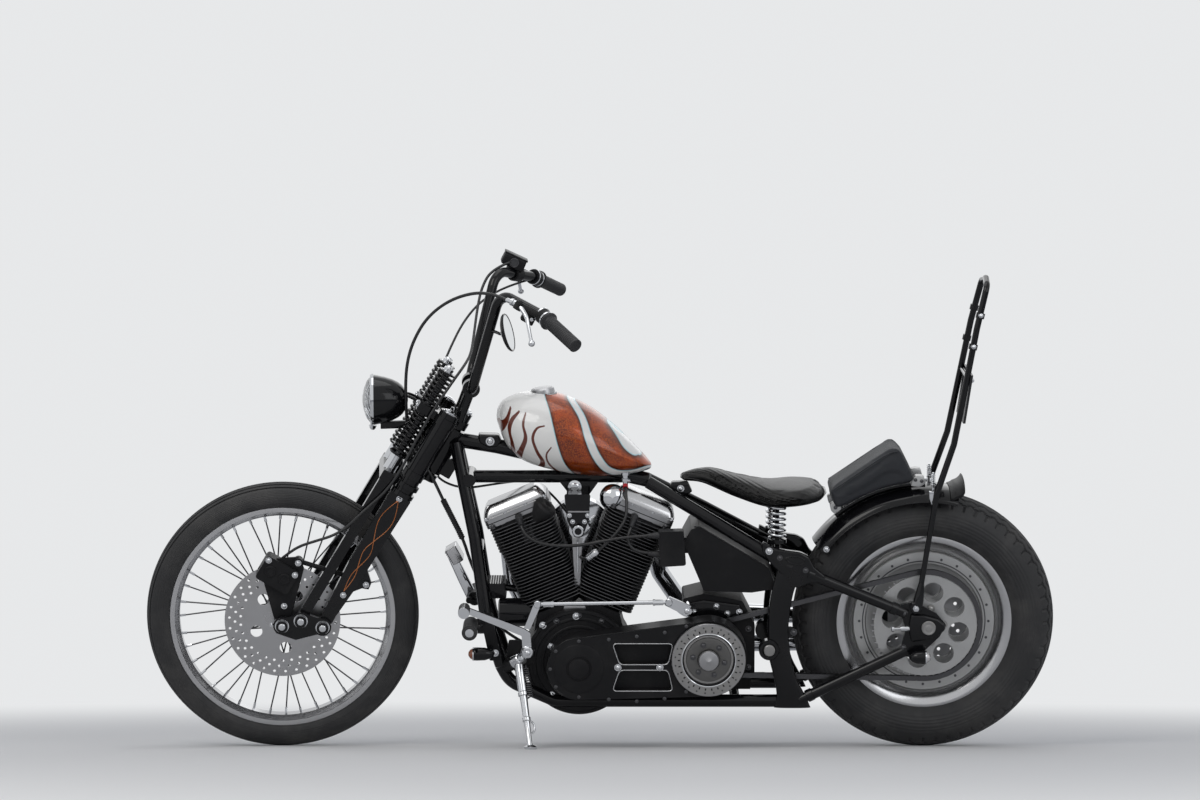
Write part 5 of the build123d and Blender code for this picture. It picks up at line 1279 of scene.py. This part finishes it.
neckMount = {
    "at": (1099, 795),
    "plate": [(1130, 812), (1126, 790), (1104, 778), (1082, 780), (1070, 794), (1078, 810)]}
block("tankMount", neckMount["plate"], -22, 22, 5, glossBlack, segments=3)
for s, mark in bothSides:
    bolts("tankMountBolt" + mark, sideSpots(s * 22, neckMount["at"]), 8.5, 5, chrome)
print("tank made")


# Right side of the engine: a cover over the timing gears, its screws and a round cap
timing = {
    "outline": [(975, 262), (962, 312), (930, 352), (892, 372), (850, 372), (806, 356), (776, 322),
        (764, 270), (776, 214), (812, 172), (862, 152), (912, 154), (950, 178), (970, 214)],
    "cap": engine["crank"]}
edge = [tuple(p) for p in smoothThrough(timing["outline"] + timing["outline"][:1], 57)[:-1]]
block("timingCover", edge, -106, -118, 3, polishedAluminium, segments=3)
xs, zs = zip(*timing["outline"])
middle = Vector((sum(xs) / len(xs), 0, sum(zs) / len(zs)))
screws = [middle.lerp(Vector((x, 0, z)), 0.89) for x, z in timing["outline"][::2]]
bolts("timingScrews", [((p.x, -118, p.z), (0, -1, 0)) for p in screws], 4.5, 3, darkSteel)
px, pz = timing["cap"]
roundPiece("timingCap", (px, -116, pz), (px, -126, pz), [(0, 0.01), (0, 44), (4, 44), (7, 41), (7.6, 36),
    (6.6, 33), (7.4, 12), (8.4, 0.01)], satinAluminium, steps=72, angle=30)
bolts("timingCapScrews", aroundAxis(38, -123, (30, 102, 174, 246, 318), timing["cap"], -1), 3, 2, darkSteel)


# Saddle, pad, fender and back bar

def swell(piece, name, voxel, pressure, cap):
    # fill a closed skin like a cushion, then keep the swollen shape
    source = piece.data.copy()
    soft = bpy.data.objects.new(name, source)
    bpy.context.scene.collection.objects.link(soft)
    remesh = soft.modifiers.new("even", "REMESH")
    remesh.mode = "VOXEL"
    remesh.voxel_size = voxel
    soft.data = plainMesh(soft)
    before = np.empty(len(soft.data.vertices) * 3)
    soft.data.vertices.foreach_get("co", before)
    cloth = soft.modifiers.new("cloth", "CLOTH")
    cloth.settings.use_pressure = True
    cloth.settings.uniform_pressure_force = pressure
    cloth.settings.effector_weights.gravity = 0
    cloth.settings.quality = 5
    cloth.point_cache.frame_start = 1
    cloth.point_cache.frame_end = 20
    for step in range(1, 21):
        bpy.context.scene.frame_set(step)
    swollen = plainMesh(soft)
    after = np.empty_like(before)
    swollen.vertices.foreach_get("co", after)
    shift = (after - before).reshape(-1, 3)
    size = np.linalg.norm(shift, axis=1, keepdims=True)
    shift *= np.minimum(1, cap / np.maximum(size, 1e-9))
    swollen.vertices.foreach_set("co", (before.reshape(-1, 3) + shift).ravel())
    soft.data = swollen
    bpy.context.scene.frame_set(1)
    smooth = soft.modifiers.new("smooth", "SUBSURF")
    smooth.levels = smooth.render_levels = 1
    mesh = plainMesh(soft)
    bpy.data.objects.remove(soft)
    bpy.data.objects.remove(piece)
    return mesh


saddle = {
    "sections": ((620, 706, 18, 4), (612, 706.5, 27, 7), (560, 706, 48, 13), (480, 680, 81, 18),
    (400, 660, 114, 20), (330, 662, 130, 19), (276, 667, 108, 14), (256, 670, 66, 8), (249, 671, 30, 4)),
    "tuckFrom": 430.0, "tuckTo": 680.0, "tucks": 9, "tuckDeep": 4.2, "slant": 150.0, "voxel": 0.005}
rows = smoothThrough(saddle["sections"], 90)
skin = [[(x, half * math.cos(a), middle + thick * math.copysign(abs(math.sin(a)) ** 0.75, math.sin(a)))
         for a in np.linspace(0, 2 * math.pi, 72, endpoint=False)] for x, middle, half, thick in rows]
cover = skinned("saddleSkin", skin, satinBlack, (upright, None))
mesh = swell(cover, "saddleSoft", saddle["voxel"], 3.5, 0.007)
drawing = upright.inverted()
middles, thicks, halves = (rows[::-1, k] for k in (1, 3, 2))
for vertex in mesh.vertices:
    p = drawing @ vertex.co
    middle, thick, half = (np.interp(p.x, rows[::-1, 0], values) for values in (middles, thicks, halves))
    rise = (p.z - middle) / max(thick, 1)
    # 0 on the crown, 1 at the widest line
    roundTo = 1 - math.atan2(rise, abs(p.y) / max(half, 1)) / (math.pi / 2)
    along = (p.x + saddle["slant"] * roundTo - saddle["tuckFrom"]) / (saddle["tuckTo"] - saddle["tuckFrom"])
    if 0 < along < 1 and rise > -0.7:
        share = along * saddle["tucks"] % 1
        groove = math.exp(-((min(share, 1 - share) / 0.16) ** 2))
        fade = min(roundTo / 0.3, 1) * min((rise + 0.7) / 0.4, 1) * min((1 - along) / 0.1, along / 0.15, 1)
        vertex.co -= vertex.normal * (saddle["tuckDeep"] * groove * fade / 1000)
leatherSaddle = addPiece("saddleCover", mesh, saddleLeather, "root", 70)
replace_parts(leatherSaddle, "saddle")
around = np.linspace(0, 2 * math.pi, 40, endpoint=False)
pan = [[(x, half * 0.9 * math.cos(a), middle - thick * 0.75 + 3 * math.sin(a)) for a in around]
       for x, middle, half, thick in rows[4:-4]]
skinned("saddlePan", pan, glossBlack)

pad = {
    "outline": [(229, 630), (246, 676), (84, 787), (70, 782), (30, 703), (110, 684), (170, 659)],
    "half": 78.0, "voxel": 0.006}
padSkin = block("padSkin", pad["outline"], -pad["half"], pad["half"], 7, padVinyl, (upright, None),
    segments=3)
mesh = swell(padSkin, "padSoft", pad["voxel"], 4, 0.003)
pillion = addPiece("pillionPad", mesh, padVinyl, "root", 70)
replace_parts(pillion, "pillion_pad")
padMiddle = (142, 721)
for s, mark in bothSides:
    loop = [(padMiddle[0] + (x - padMiddle[0]) * 0.93, s * 79, padMiddle[1] + (z - padMiddle[1]) * 0.93)
            for x, z in pad["outline"][1:4]]
    tubePiece("padPiping" + mark, [loop[0], tuple((Vector(loop[0]) + Vector(loop[1])) / 2), loop[1],
        loop[2]], 1.6, padVinyl, sides=8)

# The rear fender's arc, and the strap of the pad that lies on it
guard = {
    "middle": 333.5, "crown": 350.0, "skirt": 316.0, "half": 84.0, "wall": 3.0, "from": 36.0, "to": 104.0}
strapSection = ((-22, 0), (-22, 7), (22, 7), (22, 0))
strap, strapEdge = [], []
for degrees in np.linspace(50, 90, 14):
    c, s = math.cos(math.radians(degrees)), math.sin(math.radians(degrees))
    strap.append([(guard["crown"] * c + c * g, w, guard["middle"] + guard["crown"] * s + s * g)
                  for w, g in strapSection])
    strapEdge.append((356.6 * c, 22, guard["middle"] + 356.6 * s))
skinned("padStrap", strap, glossBlack, angle=30)
tubePiece("padStrapEdge", strapEdge, 1.0, silverPaint, sides=6)

springs = {"x": 376.0, "y": 72.0, "low": 556.0, "high": 640.0, "radius": 20.0, "wire": 3.6}
springFeet = [((springs["x"], s * springs["y"], springs["low"]), (0, 0, 1)) for s in (1, -1)]
seatCoils = coils("saddleSprings", springFeet, 6, springs["radius"], springs["high"] - springs["low"],
    springs["wire"], chrome)
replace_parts(seatCoils, "saddle_mount")
mountBars, mountDiscs = [], []
for s in (1, -1):
    y = s * springs["y"]
    mountBars += [barSpot((springs["x"], y, 545), (springs["x"], y, 652), 5.5),
                  barSpot((springs["x"], y, 546), (springs["x"], s * 104, 524), 7)]
    mountDiscs += [barSpot((springs["x"], y, 545), (springs["x"], y, 555), 24),
                   barSpot((springs["x"], y, 639), (springs["x"], y, 645), 24)]
mountBars.append(barSpot((springs["x"], -springs["y"], 548), (springs["x"], springs["y"], 548), 7))
copies("springMountBars", barShape(16), mountBars, glossBlack)
copies("springMountCups", barShape(28), mountDiscs, glossBlack)
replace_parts(block("saddleHinge", [(640, 688), (600, 690), (588, 664), (626, 640), (664, 650)], -14, 14, 3,
    glossBlack), "saddle_mount")
bolts("saddleHingeBolt", [((618, 14, 672), (0, 1, 0)), ((618, -14, 672), (0, -1, 0))], 7, 5, chrome)


def guardDrop(share):
    # how far the arch falls from its crown, for a place across it from -1 to 1
    return (guard["crown"] - guard["skirt"]) * (1 - (1 - min(abs(share), 1) ** 2.4) ** 0.55)


arch = np.sin(np.linspace(-math.pi / 2, math.pi / 2, 41))
rings = []
for degrees in np.linspace(guard["from"], guard["to"], 64):
    c, s = math.cos(math.radians(degrees)), math.sin(math.radians(degrees))
    ring = []
    for shares, inner in ((arch, 0), (arch[::-1], guard["wall"])):
        for a in shares:
            r = max(guard["crown"] - guardDrop(a) - inner, guard["skirt"])
            ring.append((r * c, a * (guard["half"] - inner), guard["middle"] + r * s))
    rings.append(ring)
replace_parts(skinned("fenderArch", rings, glossBlack, angle=50), "rear_fender")

for s, mark in bothSides:
    rim = [onCircle(316.6, s * 83.6, math.radians(degrees), (0, guard["middle"]))
           for degrees in np.linspace(37, 103, 30)]
    tubePiece("fenderBead" + mark, rim, 2.2, glossBlack, sides=8)
    bolts("fenderBolts" + mark, sideSpots(s * 84, (252, 530)), 6, 4, chrome)
    bolts("plateBolts" + mark, sideSpots(s * 115, (56, 372), (58, 284)), 6, 5, darkSteel)
    for k, (low, high) in enumerate((((-124.5, 76.5, 1116), (-128, 75.5, 1132)),
            ((-107.5, 80.5, 1038), (-111, 79.5, 1054)))):
        a, b = Vector(low) * Vector((1, s, 1)), Vector(high) * Vector((1, s, 1))
        roundPiece("barClamp" + mark + str(k), a, b, [(0, 7.6), (0, 11), (14, 11), (14, 7.6)], glossBlack,
            steps=24)
        roundPiece("barClampBolt" + mark + str(k), (a + b) / 2 + Vector((0, s * 8, 0)),
            (a + b) / 2 + Vector((0, s * 18, 0)), acorn(5.5, 8), chrome, steps=24)
    for k, (a, b) in enumerate((((300, s * 108, 473), (282, s * 108, 466)),
            ((90, s * 108, 387), (72, s * 108, 379)), ((300, s * 108, 155), (282, s * 108, 164)))):
        roundPiece("stayCollar" + mark + str(k), a, b, [(0, 13.8), (1, 16), (17, 16), (18, 13.8)],
            glossBlack, steps=32)
plateBolts = [((-109.5, y, 958), (-0.99, 0, -0.14)) for y in (-70, 70)]
bolts("plateScrews", plateBolts, 5, 3, chrome)
print("seat and rear made")


# Indicators, pegs, pedals and stand

indicatorShapes = {
    "body": [(0, 0.01), (0, 11), (1.5, 13.5), (4, 15.2), (6, 16.6), (14, 17), (36, 16), (50, 11.5), (58, 6),
        (62, 0.01)],
    "lens": [(-9, 0.01), (-8, 6), (-4, 11), (0, 13.6), (3, 14.6), (3, 0.01)]}
for s, mark in bothSides:
    for label, tail, nose, height, foot in (("Front", 1096, 1152, 275, (1086, 98, 290)),
            ("Rear", 0, 42, 266, (34, 108, 268))):
        lensEnd, bodyEnd = (nose - 8, tail - 10) if label == "Front" else (tail, nose + 4)
        lensColour = amberLens if label == "Front" else silverLens
        start, end = (lensEnd, s * 148, height), (bodyEnd, s * 148, height)
        long = abs(lensEnd - bodyEnd)
        body = [(a * long / 62, r) for a, r in indicatorShapes["body"]]
        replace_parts(roundPiece("indicator" + label + mark, start, end, body, glossBlack, steps=40),
            "indicators")
        roundPiece("indicatorLens" + label + mark, start, end, indicatorShapes["lens"], lensColour, steps=40)
        roundPiece("indicatorRing" + label + mark, start, end, [(2, 14), (2, 17), (5, 17.3), (6, 16)],
            chrome, steps=40)
        middle = Vector(((lensEnd + bodyEnd) / 2, s * 148, height))
        stemEnd = Vector((foot[0], s * foot[1], foot[2]))
        tubePiece("indicatorStem" + label + mark, [middle, (middle + stemEnd) / 2, stemEnd], 5, glossBlack)

pegOutline = ([(0, 0.01), (0, 14), (3, 18.3)] + ribbed(9, 10, (5, 11, 12, 14), 18.4, 16.6)
              + [(96, 18.4), (102, 19.5), (106, 19), (108, 15), (108, 0.01)])
for s, mark in bothSides:
    roundPiece("peg" + mark, (1146, s * 143, 352), (1146, s * 251, 352), pegOutline, mattRubber, steps=40,
        angle=25)
    roundPiece("pegEnd" + mark, (1146, s * 249.5, 352), (1146, s * 253, 352),
        [(0, 0.01), (0, 12), (1, 12), (2, 9), (2, 0.01)], chrome, steps=32)
    bolts("plateFront" + mark, sideSpots(s * 116, (1100, 358), (1086, 270)), 7, 5, chrome)
toeOutline = ([(0, 0.01), (0, 11), (2, 14)] + ribbed(5, 10, (4, 10, 11, 13), 14.3, 12.8)
              + [(56, 14.3), (59, 12), (60, 0.01)])
roundPiece("toePeg", (1160, 190, 402), (1160, 251, 402), toeOutline, mattRubber, steps=32, angle=25)
roundPiece("shiftHub", (1003, 122, 290), (1003, 201, 290), [(64, 11), (64, 16), (70, 17), (75, 16),
    (79, 12), (80, 0.01), (60, 0.01)], chrome, steps=40)
for k, (x, y, z) in enumerate(((978, 189, 412), (650, 163, 411))):
    roundPiece("rodEnd" + str(k), (x, y - 7, z), (x, y + 7, z), [(0, 0.01), (0, 8), (2, 9.5), (12, 9.5),
        (14, 8), (14, 0.01)], chrome, steps=24)
rodSleeve = [(0, 5.2), (0, 7.4), (20, 7.4), (20, 8.4), (26, 8.4), (26, 5.2)]
for k, (start, end) in enumerate((((964, 188, 412), (938, 186, 412)), ((664, 164, 411), (690, 166, 411)))):
    roundPiece("rodSleeve" + str(k), start, end, rodSleeve, chrome, steps=6, angle=20)
bolts("shifterBolts", [((604, 158, 388), (0, 1, 0)), ((1003, 199, 290), (0, 1, 0))], 8, 6, chrome)
pedalBars = []
for k in range(7):
    share = (k + 0.5) / 7
    top = Vector((1223, 0, 469)) * (1 - share) + Vector((1201, 0, 433)) * share
    pedalBars.append(barSpot((top.x, -229, top.z), (top.x, -171, top.z), 2.0))
copies("pedalRibs", barShape(8), pedalBars, silverPaint)

stand = {"pivot": Vector((1027, 134, 256)), "foot": Vector((995, 250, 55.4))}
standWay = (stand["foot"] - stand["pivot"]).normalized()
coilFrom = stand["pivot"] + standWay * 22 + Vector((-17, 4, 0))
coils("standSpring", [(tuple(coilFrom), tuple(standWay))], 14, 6.5, 74, 1.3, darkSteel, onStand)
copies("standSpringHooks", barShape(8), [barSpot(coilFrom - standWay * 10, coilFrom, 1.5),
    barSpot(coilFrom + standWay * 74, coilFrom + standWay * 84 + Vector((14, -3, 0)), 1.5)], darkSteel,
    onStand)
print("controls made")


# Castings between the rails and the stays: a curved post, an arm over it and the pivot's boss
casting = {
    "post": ((478, 345, 32), (430, 362, 28), (367, 372, 27), (315, 374, 27), (262, 369, 28), (205, 355, 28),
        (160, 340, 36), (128, 336, 46)),
    "arm": [(414, 556), (380, 538), (348, 533), (318, 529), (298, 518), (284, 491), (258, 470), (246, 450),
        (296, 450), (322, 438), (346, 440), (362, 468), (392, 498), (416, 530)],
    "pocket": [(356, 514), (346, 521), (318, 517), (305, 507), (314, 498), (336, 499), (352, 506),
        (356, 514)],
    "pivot": (396, 279),
}
postRows = smoothThrough(casting["post"], 26)
for s, mark in bothSides:
    rings = [[(x + a * half / 10, s * 109 + b, z) for a, b, _ in roundedRect(10, 11.5, 8, 0, 6)]
             for z, x, half in postRows]
    post = skinned("seatPost" + mark, rings, glossBlack, angle=40)
    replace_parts(post, "frame_side_plates")
    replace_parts(block("frameArm" + mark, casting["arm"], s * 97.5, s * 121, 5, glossBlack, segments=3,
        angle=50), "frame_side_plates")
    tubePiece("armPocket" + mark, [(x, s * 121.4, z) for x, z in casting["pocket"]], 1.6, glossBlack,
        sides=8)
    bolts("armBolts" + mark, sideSpots(s * 121, (371, 516), (306, 484)), 5.5, 4, darkSteel)
    bolts("armFrontBolt" + mark, sideSpots(s * 121, (398, 533)), 7, 5, chrome)
    px, pz = casting["pivot"]
    roundPiece("pivotBoss" + mark, (px, s * 97, pz), (px, s * 131, pz),
        [(0, 0.01), (0, 24), (2, 26), (28, 26), (31, 24), (31, 17), (26, 15.4), (26, 0.01)], glossBlack,
        steps=56, angle=30)
    roundPiece("pivotCap" + mark, (px, s * 123, pz), (px, s * 134, pz),
        [(0, 0.01), (0, 14.6), (9, 14.6), (10.5, 13), (11, 9), (10.6, 0.01)], machinedGrey, steps=48,
        angle=30)
    block("postEar" + mark, [(356, 338), (340, 336), (326, 330), (323, 322), (328, 314), (342, 309),
        (356, 308)], s * 102, s * 114, 3, glossBlack)
    bolts("postEarBolt" + mark, sideSpots(s * 114, (334, 323)), 6.5, 4, darkSteel)
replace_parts(roundPiece("castingBar", (364, -100, 430), (364, 100, 430),
    [(0, 0.01), (0, 12), (200, 12), (200, 0.01)], glossBlack), "frame_side_plates")
tubePiece("oilTankSeam", [(586, 91.6, 589), (571, 91.6, 589), (560, 91.6, 582), (486, 91.6, 538),
    (404, 91.6, 487)], 1.8, glossBlack, sides=8)


def roundLoop(corners, reach):
    # three points at each corner, so that the smooth line rounds it and stays straight between
    out = []
    for k, corner in enumerate(corners):
        here, back, on = Vector(corner), Vector(corners[k - 1]), Vector(corners[(k + 1) % len(corners)])
        out += [here + (back - here).normalized() * reach, here, here + (on - here).normalized() * reach]
    start = (Vector(corners[0]) + Vector(corners[-1])) / 2
    return [tuple(v) for v in [start] + out + [start]]


primaryTrim = {
    "windows": (((791, 307), (639, 307), (651, 253), (773, 253)),
        ((773, 239), (651, 239), (639, 185), (791, 185))),
    "reach": 24, "wire": 1.5, "noseRadius": 79.0, "across": 170.6, "slope": 0.1323}
for k, corners in enumerate(primaryTrim["windows"]):
    loop = [(x, 172.2, z) for x, z in roundLoop(corners, primaryTrim["reach"])]
    tubePiece("windowRim" + str(k), loop, primaryTrim["wire"], polishedAluminium, sides=8)
nose = engine["crank"]
edge = [onCircle(primaryTrim["noseRadius"], primaryTrim["across"], a, nose)
        for a in np.radians(np.arange(-60, 100, 12))]
edge += [(nose[0] - d, primaryTrim["across"], nose[1] + primaryTrim["noseRadius"] + d * primaryTrim["slope"])
         for d in (30, 90, 160, 230, 290)]
tubePiece("primaryEdge", edge, 2.2, glossBlack, sides=8)

# Rear axle: pointed covers, polished discs, adjusters and the bar's feet
for s, mark in bothSides:
    block("axleCover" + mark, [(40, 371), (4, 368), (-28, 359), (-45, 345), (-47, 332), (-32, 317),
        (0, 305), (38, 299), (46, 334)], s * 114, s * 127, 5, glossBlack, segments=3, angle=50)
    roundPiece("axleDisc" + mark, (-4, s * 125, 337), (-4, s * 130, 337),
        [(0, 0.01), (0, 18), (6, 18), (7.8, 16.6), (7.8, 13.4), (7.2, 12.8), (7.2, 8), (7.8, 7.4),
        (8, 0.01)], machinedGrey, steps=56, angle=30)
    roundPiece("axleAdjuster" + mark, (18, s * 119, 334), (90, s * 119, 333),
        [(0, 0.01), (0, 3.2), (20, 3.2), (20, 6.2), (24, 7), (44, 7), (48, 6), (48, 3.2), (64, 3.2),
        (64, 7.6), (70, 7.6), (71.5, 6), (71.5, 0.01)], chrome, steps=24, angle=30)
    foot, way = Vector((26, s * 122, 380)), Vector((-48, -s * 22, 295)).normalized()
    roundPiece("barFoot" + mark, foot + way * 6, foot + way * 76, [(0, 7), (0, 12.5), (22, 13), (36, 11.5),
        (56, 8.5), (66, 7.1)], glossBlack, steps=32, angle=40)
    roundPiece("barEye" + mark, (28, s * 113, 388), (28, s * 131, 388),
        [(0, 0.01), (0, 14), (1.5, 15), (16, 15), (18, 13.5), (18, 0.01)], glossBlack, steps=40, angle=30)
    roundPiece("barBaseBolt" + mark, (28, s * 131, 388), (28, s * 142, 388), acorn(7, 7), chrome, steps=6,
        angle=20)
    block("fenderClamp" + mark, [(-3, 680), (-27, 680), (-27, 664), (-22, 645), (-10, 645), (-4, 662)],
        s * 83.6, s * 96, 2.5, chrome)
    bolts("fenderClampBolt" + mark, sideSpots(s * 96, (-16, 653)), 4.5, 3, darkSteel)
    block("padHinge" + mark, [(40, 688), (37, 706), (27, 715), (8, 714), (2, 694), (18, 685)], s * 38,
        s * 66, 3, silverPaint)
    bolts("padHingeBolts" + mark, sideSpots(s * 66, (29, 704), (13, 701)), 3.6, 2.5, darkSteel)
    block("padFrontHinge" + mark, [(244, 642), (240, 624), (231, 616), (215, 627), (214, 644), (226, 652)],
        s * 46, s * 64, 3, silverPaint)
    bolts("padFrontBolts" + mark, sideSpots(s * 64, (229, 633)), 4, 2.5, darkSteel)
coils("tailSpring", [((-16, 60, 688), (0, 0, 1)), ((-16, -60, 688), (0, 0, 1))], 6, 5, 30, 1.3, chrome)
copies("tailStuds", barShape(10), [barSpot((-16, y, 676), (-16, y, 722), 3) for y in (60, -60)], chrome)
tail = {
    "rows": ((-60, 676, 680.6), (-66, 676.5, 683), (-70, 678, 685), (-74, 680, 688), (-82, 683, 691),
        (-90, 687, 697), (-95, 696, 704)),
    "sink": 0.8}
rings = []
for x, under, over in smoothThrough(tail["rows"], 20):
    across = np.linspace(-1, 1, 25)
    drop = [guardDrop(a * 0.985) * tail["sink"] for a in across]
    rings.append([(x, 83.6 * a, over - d) for a, d in zip(across, drop)]
                 + [(x, 81 * a, under - d) for a, d in zip(across[::-1], drop[::-1])])
skinned("fenderTail", rings, satinBlack, angle=50)

# Brake pedal in polished metal over its arm
block("pedalPlate", [(1225, 471), (1196, 488), (1174, 448), (1201, 432)], -231.5, -168.5, 4,
    polishedAluminium, segments=3)
block("pedalArm", [(1168.5, 348), (1137.5, 348), (1164, 403), (1194.5, 463), (1216, 453.5), (1190.5, 395)],
    -186, -170, 3, chrome, segments=3)

# Side stand: a boss, a socket, a tapering leg with a ring and a tab, and a small foot
up = Vector((0, -math.sin(math.radians(stance["lean"])), math.cos(math.radians(stance["lean"]))))
foot = stand["foot"]
down = Vector((foot.x, foot.y, foot.y * math.tan(math.radians(stance["lean"])))) - stand["pivot"]
legLong = down.length
down.normalize()
folded = Vector((-math.cos(math.radians(52)), 0, -math.sin(math.radians(52))))
hinge = down.cross(folded).normalized()
sole = stand["pivot"] + down * legLong
leg = roundPiece("standLeg", stand["pivot"], sole, [(0, 0.01), (0, 12), (14, 12.6), (70, 11.8), (84, 11.6),
    (86, 12.8), (94, 12.8), (96, 9.6), (150, 8.6), (152, 10.6), (160, 10.6), (162, 8.2),
    (legLong - 14, 7.4), (legLong - 6, 9), (legLong - 5, 0.01)], chrome, onStand, steps=40, angle=30)
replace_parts(leg, "side_stand")
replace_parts(roundPiece("standBoss", stand["pivot"] - hinge * 17, stand["pivot"] + hinge * 13,
    [(0, 0.01), (0, 16), (1.5, 17), (28, 17), (30, 15), (30, 0.01)], chrome, onStand, steps=48, angle=30),
    "side_stand")
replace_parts(roundPiece("standFoot", sole + up * 0.05, sole + up * 12,
    [(0, 0.01), (0, 14.5), (2, 16), (6, 16), (8.5, 13.5), (11, 9), (12, 0.01)], chrome, onStand, steps=48,
    angle=40), "side_stand")
tabFrom = stand["pivot"] + down * 158
side = hinge.cross(down).normalized()
tubePiece("standTab", [tabFrom + side * 6, tabFrom + side * 20 + down * 4, tabFrom + side * 24 + down * 22,
    tabFrom + side * 12 + down * 34, tabFrom + side * 6 + down * 34], 2.6, chrome, onStand, sides=10)
bolts("standBolt", [(tuple(stand["pivot"] + hinge * 13), tuple(hinge))], 8, 5, chrome, onStand)
print("castings, rear axle and stand made")


# Finishes of the pieces that keep their CAD shape

cadFinishes = {
    glossBlack: ("frame_head", "frame_backbone", "frame_downtubes", "frame_rails", "frame_seat_rails",
        "frame_lower_stays", "frame_upper_stays", "rear_fender", "sissy_bar", "fork_legs", "spring_legs",
        "fork_rockers", "handlebar", "engine_bracket", "engine_auxiliaries"),
    castBlack: ("crankcase", "gearbox", "front_caliper", "rear_caliper"),
    satinBlack: ("oil_tank", "primary_drive", "foot_controls", "coil_box", "cylinders"),
    satinAluminium: ("rocker_boxes",),
    chrome: ("pushrod_tubes", "air_cleaner", "exhaust_pipes", "shift_linkage", "saddle_mount"),
    machinedGrey: ("clutch_drum",),
    drilledSteel: ("rear_disc", "front_disc", "gear_sprocket", "drive_chain"),
    silverPaint: ("rear_rim", "rear_sprocket", "front_rim"),
    plateBlack: ("number_plate", "frame_side_plates", "mirror", "headlamp", "side_stand", "fuel_tank",
        "saddle", "pillion_pad", "indicators", "fork_springs"),
    softRubber: ("hand_controls",),
    mattRubber: ("rear_tyre", "front_tyre"),
}
for material, names in cadFinishes.items():
    for name in names:
        nodes[name].data.materials.clear()
        nodes[name].data.materials.append(material)

floorColour = (0.74, 0.74, 0.735)
floorMaterial = finish("paleFloor", floorColour, 0.8, amount=0.0, spread=0.05, bump=0.0, shine=0.2)
floorTree = floorMaterial.node_tree
floorOut = next(n for n in floorTree.nodes if n.type == "OUTPUT_MATERIAL")
farAway = floorTree.nodes.new("ShaderNodeVectorMath")
farAway.operation = "LENGTH"
floorTree.links.new(floorTree.nodes.new("ShaderNodeTexCoord").outputs["Object"], farAway.inputs[0])
floorRay = floorTree.nodes.new("ShaderNodeLightPath")
fade = mathNode(floorTree, "MULTIPLY", ramp(floorTree, farAway.outputs["Value"], 1.3, 4.2),
    floorRay.outputs["Is Camera Ray"])
backdrop = floorTree.nodes.new("ShaderNodeEmission")
backdrop.inputs["Color"].default_value = backdropColour
floorMix = floorTree.nodes.new("ShaderNodeMixShader")
floorTree.links.new(fade, floorMix.inputs[0])
floorTree.links.new(surfaceOf(floorTree).outputs[0], floorMix.inputs[1])
floorTree.links.new(backdrop.outputs[0], floorMix.inputs[2])
floorTree.links.new(floorMix.outputs[0], floorOut.inputs[0])
floorMesh = builtMesh("floor", [(-14, -14, 0), (14, -14, 0), (14, 14, 0), (-14, 14, 0)], [(0, 1, 2, 3)],
    metres)
floor = addPiece("floor", floorMesh, floorMaterial, None)
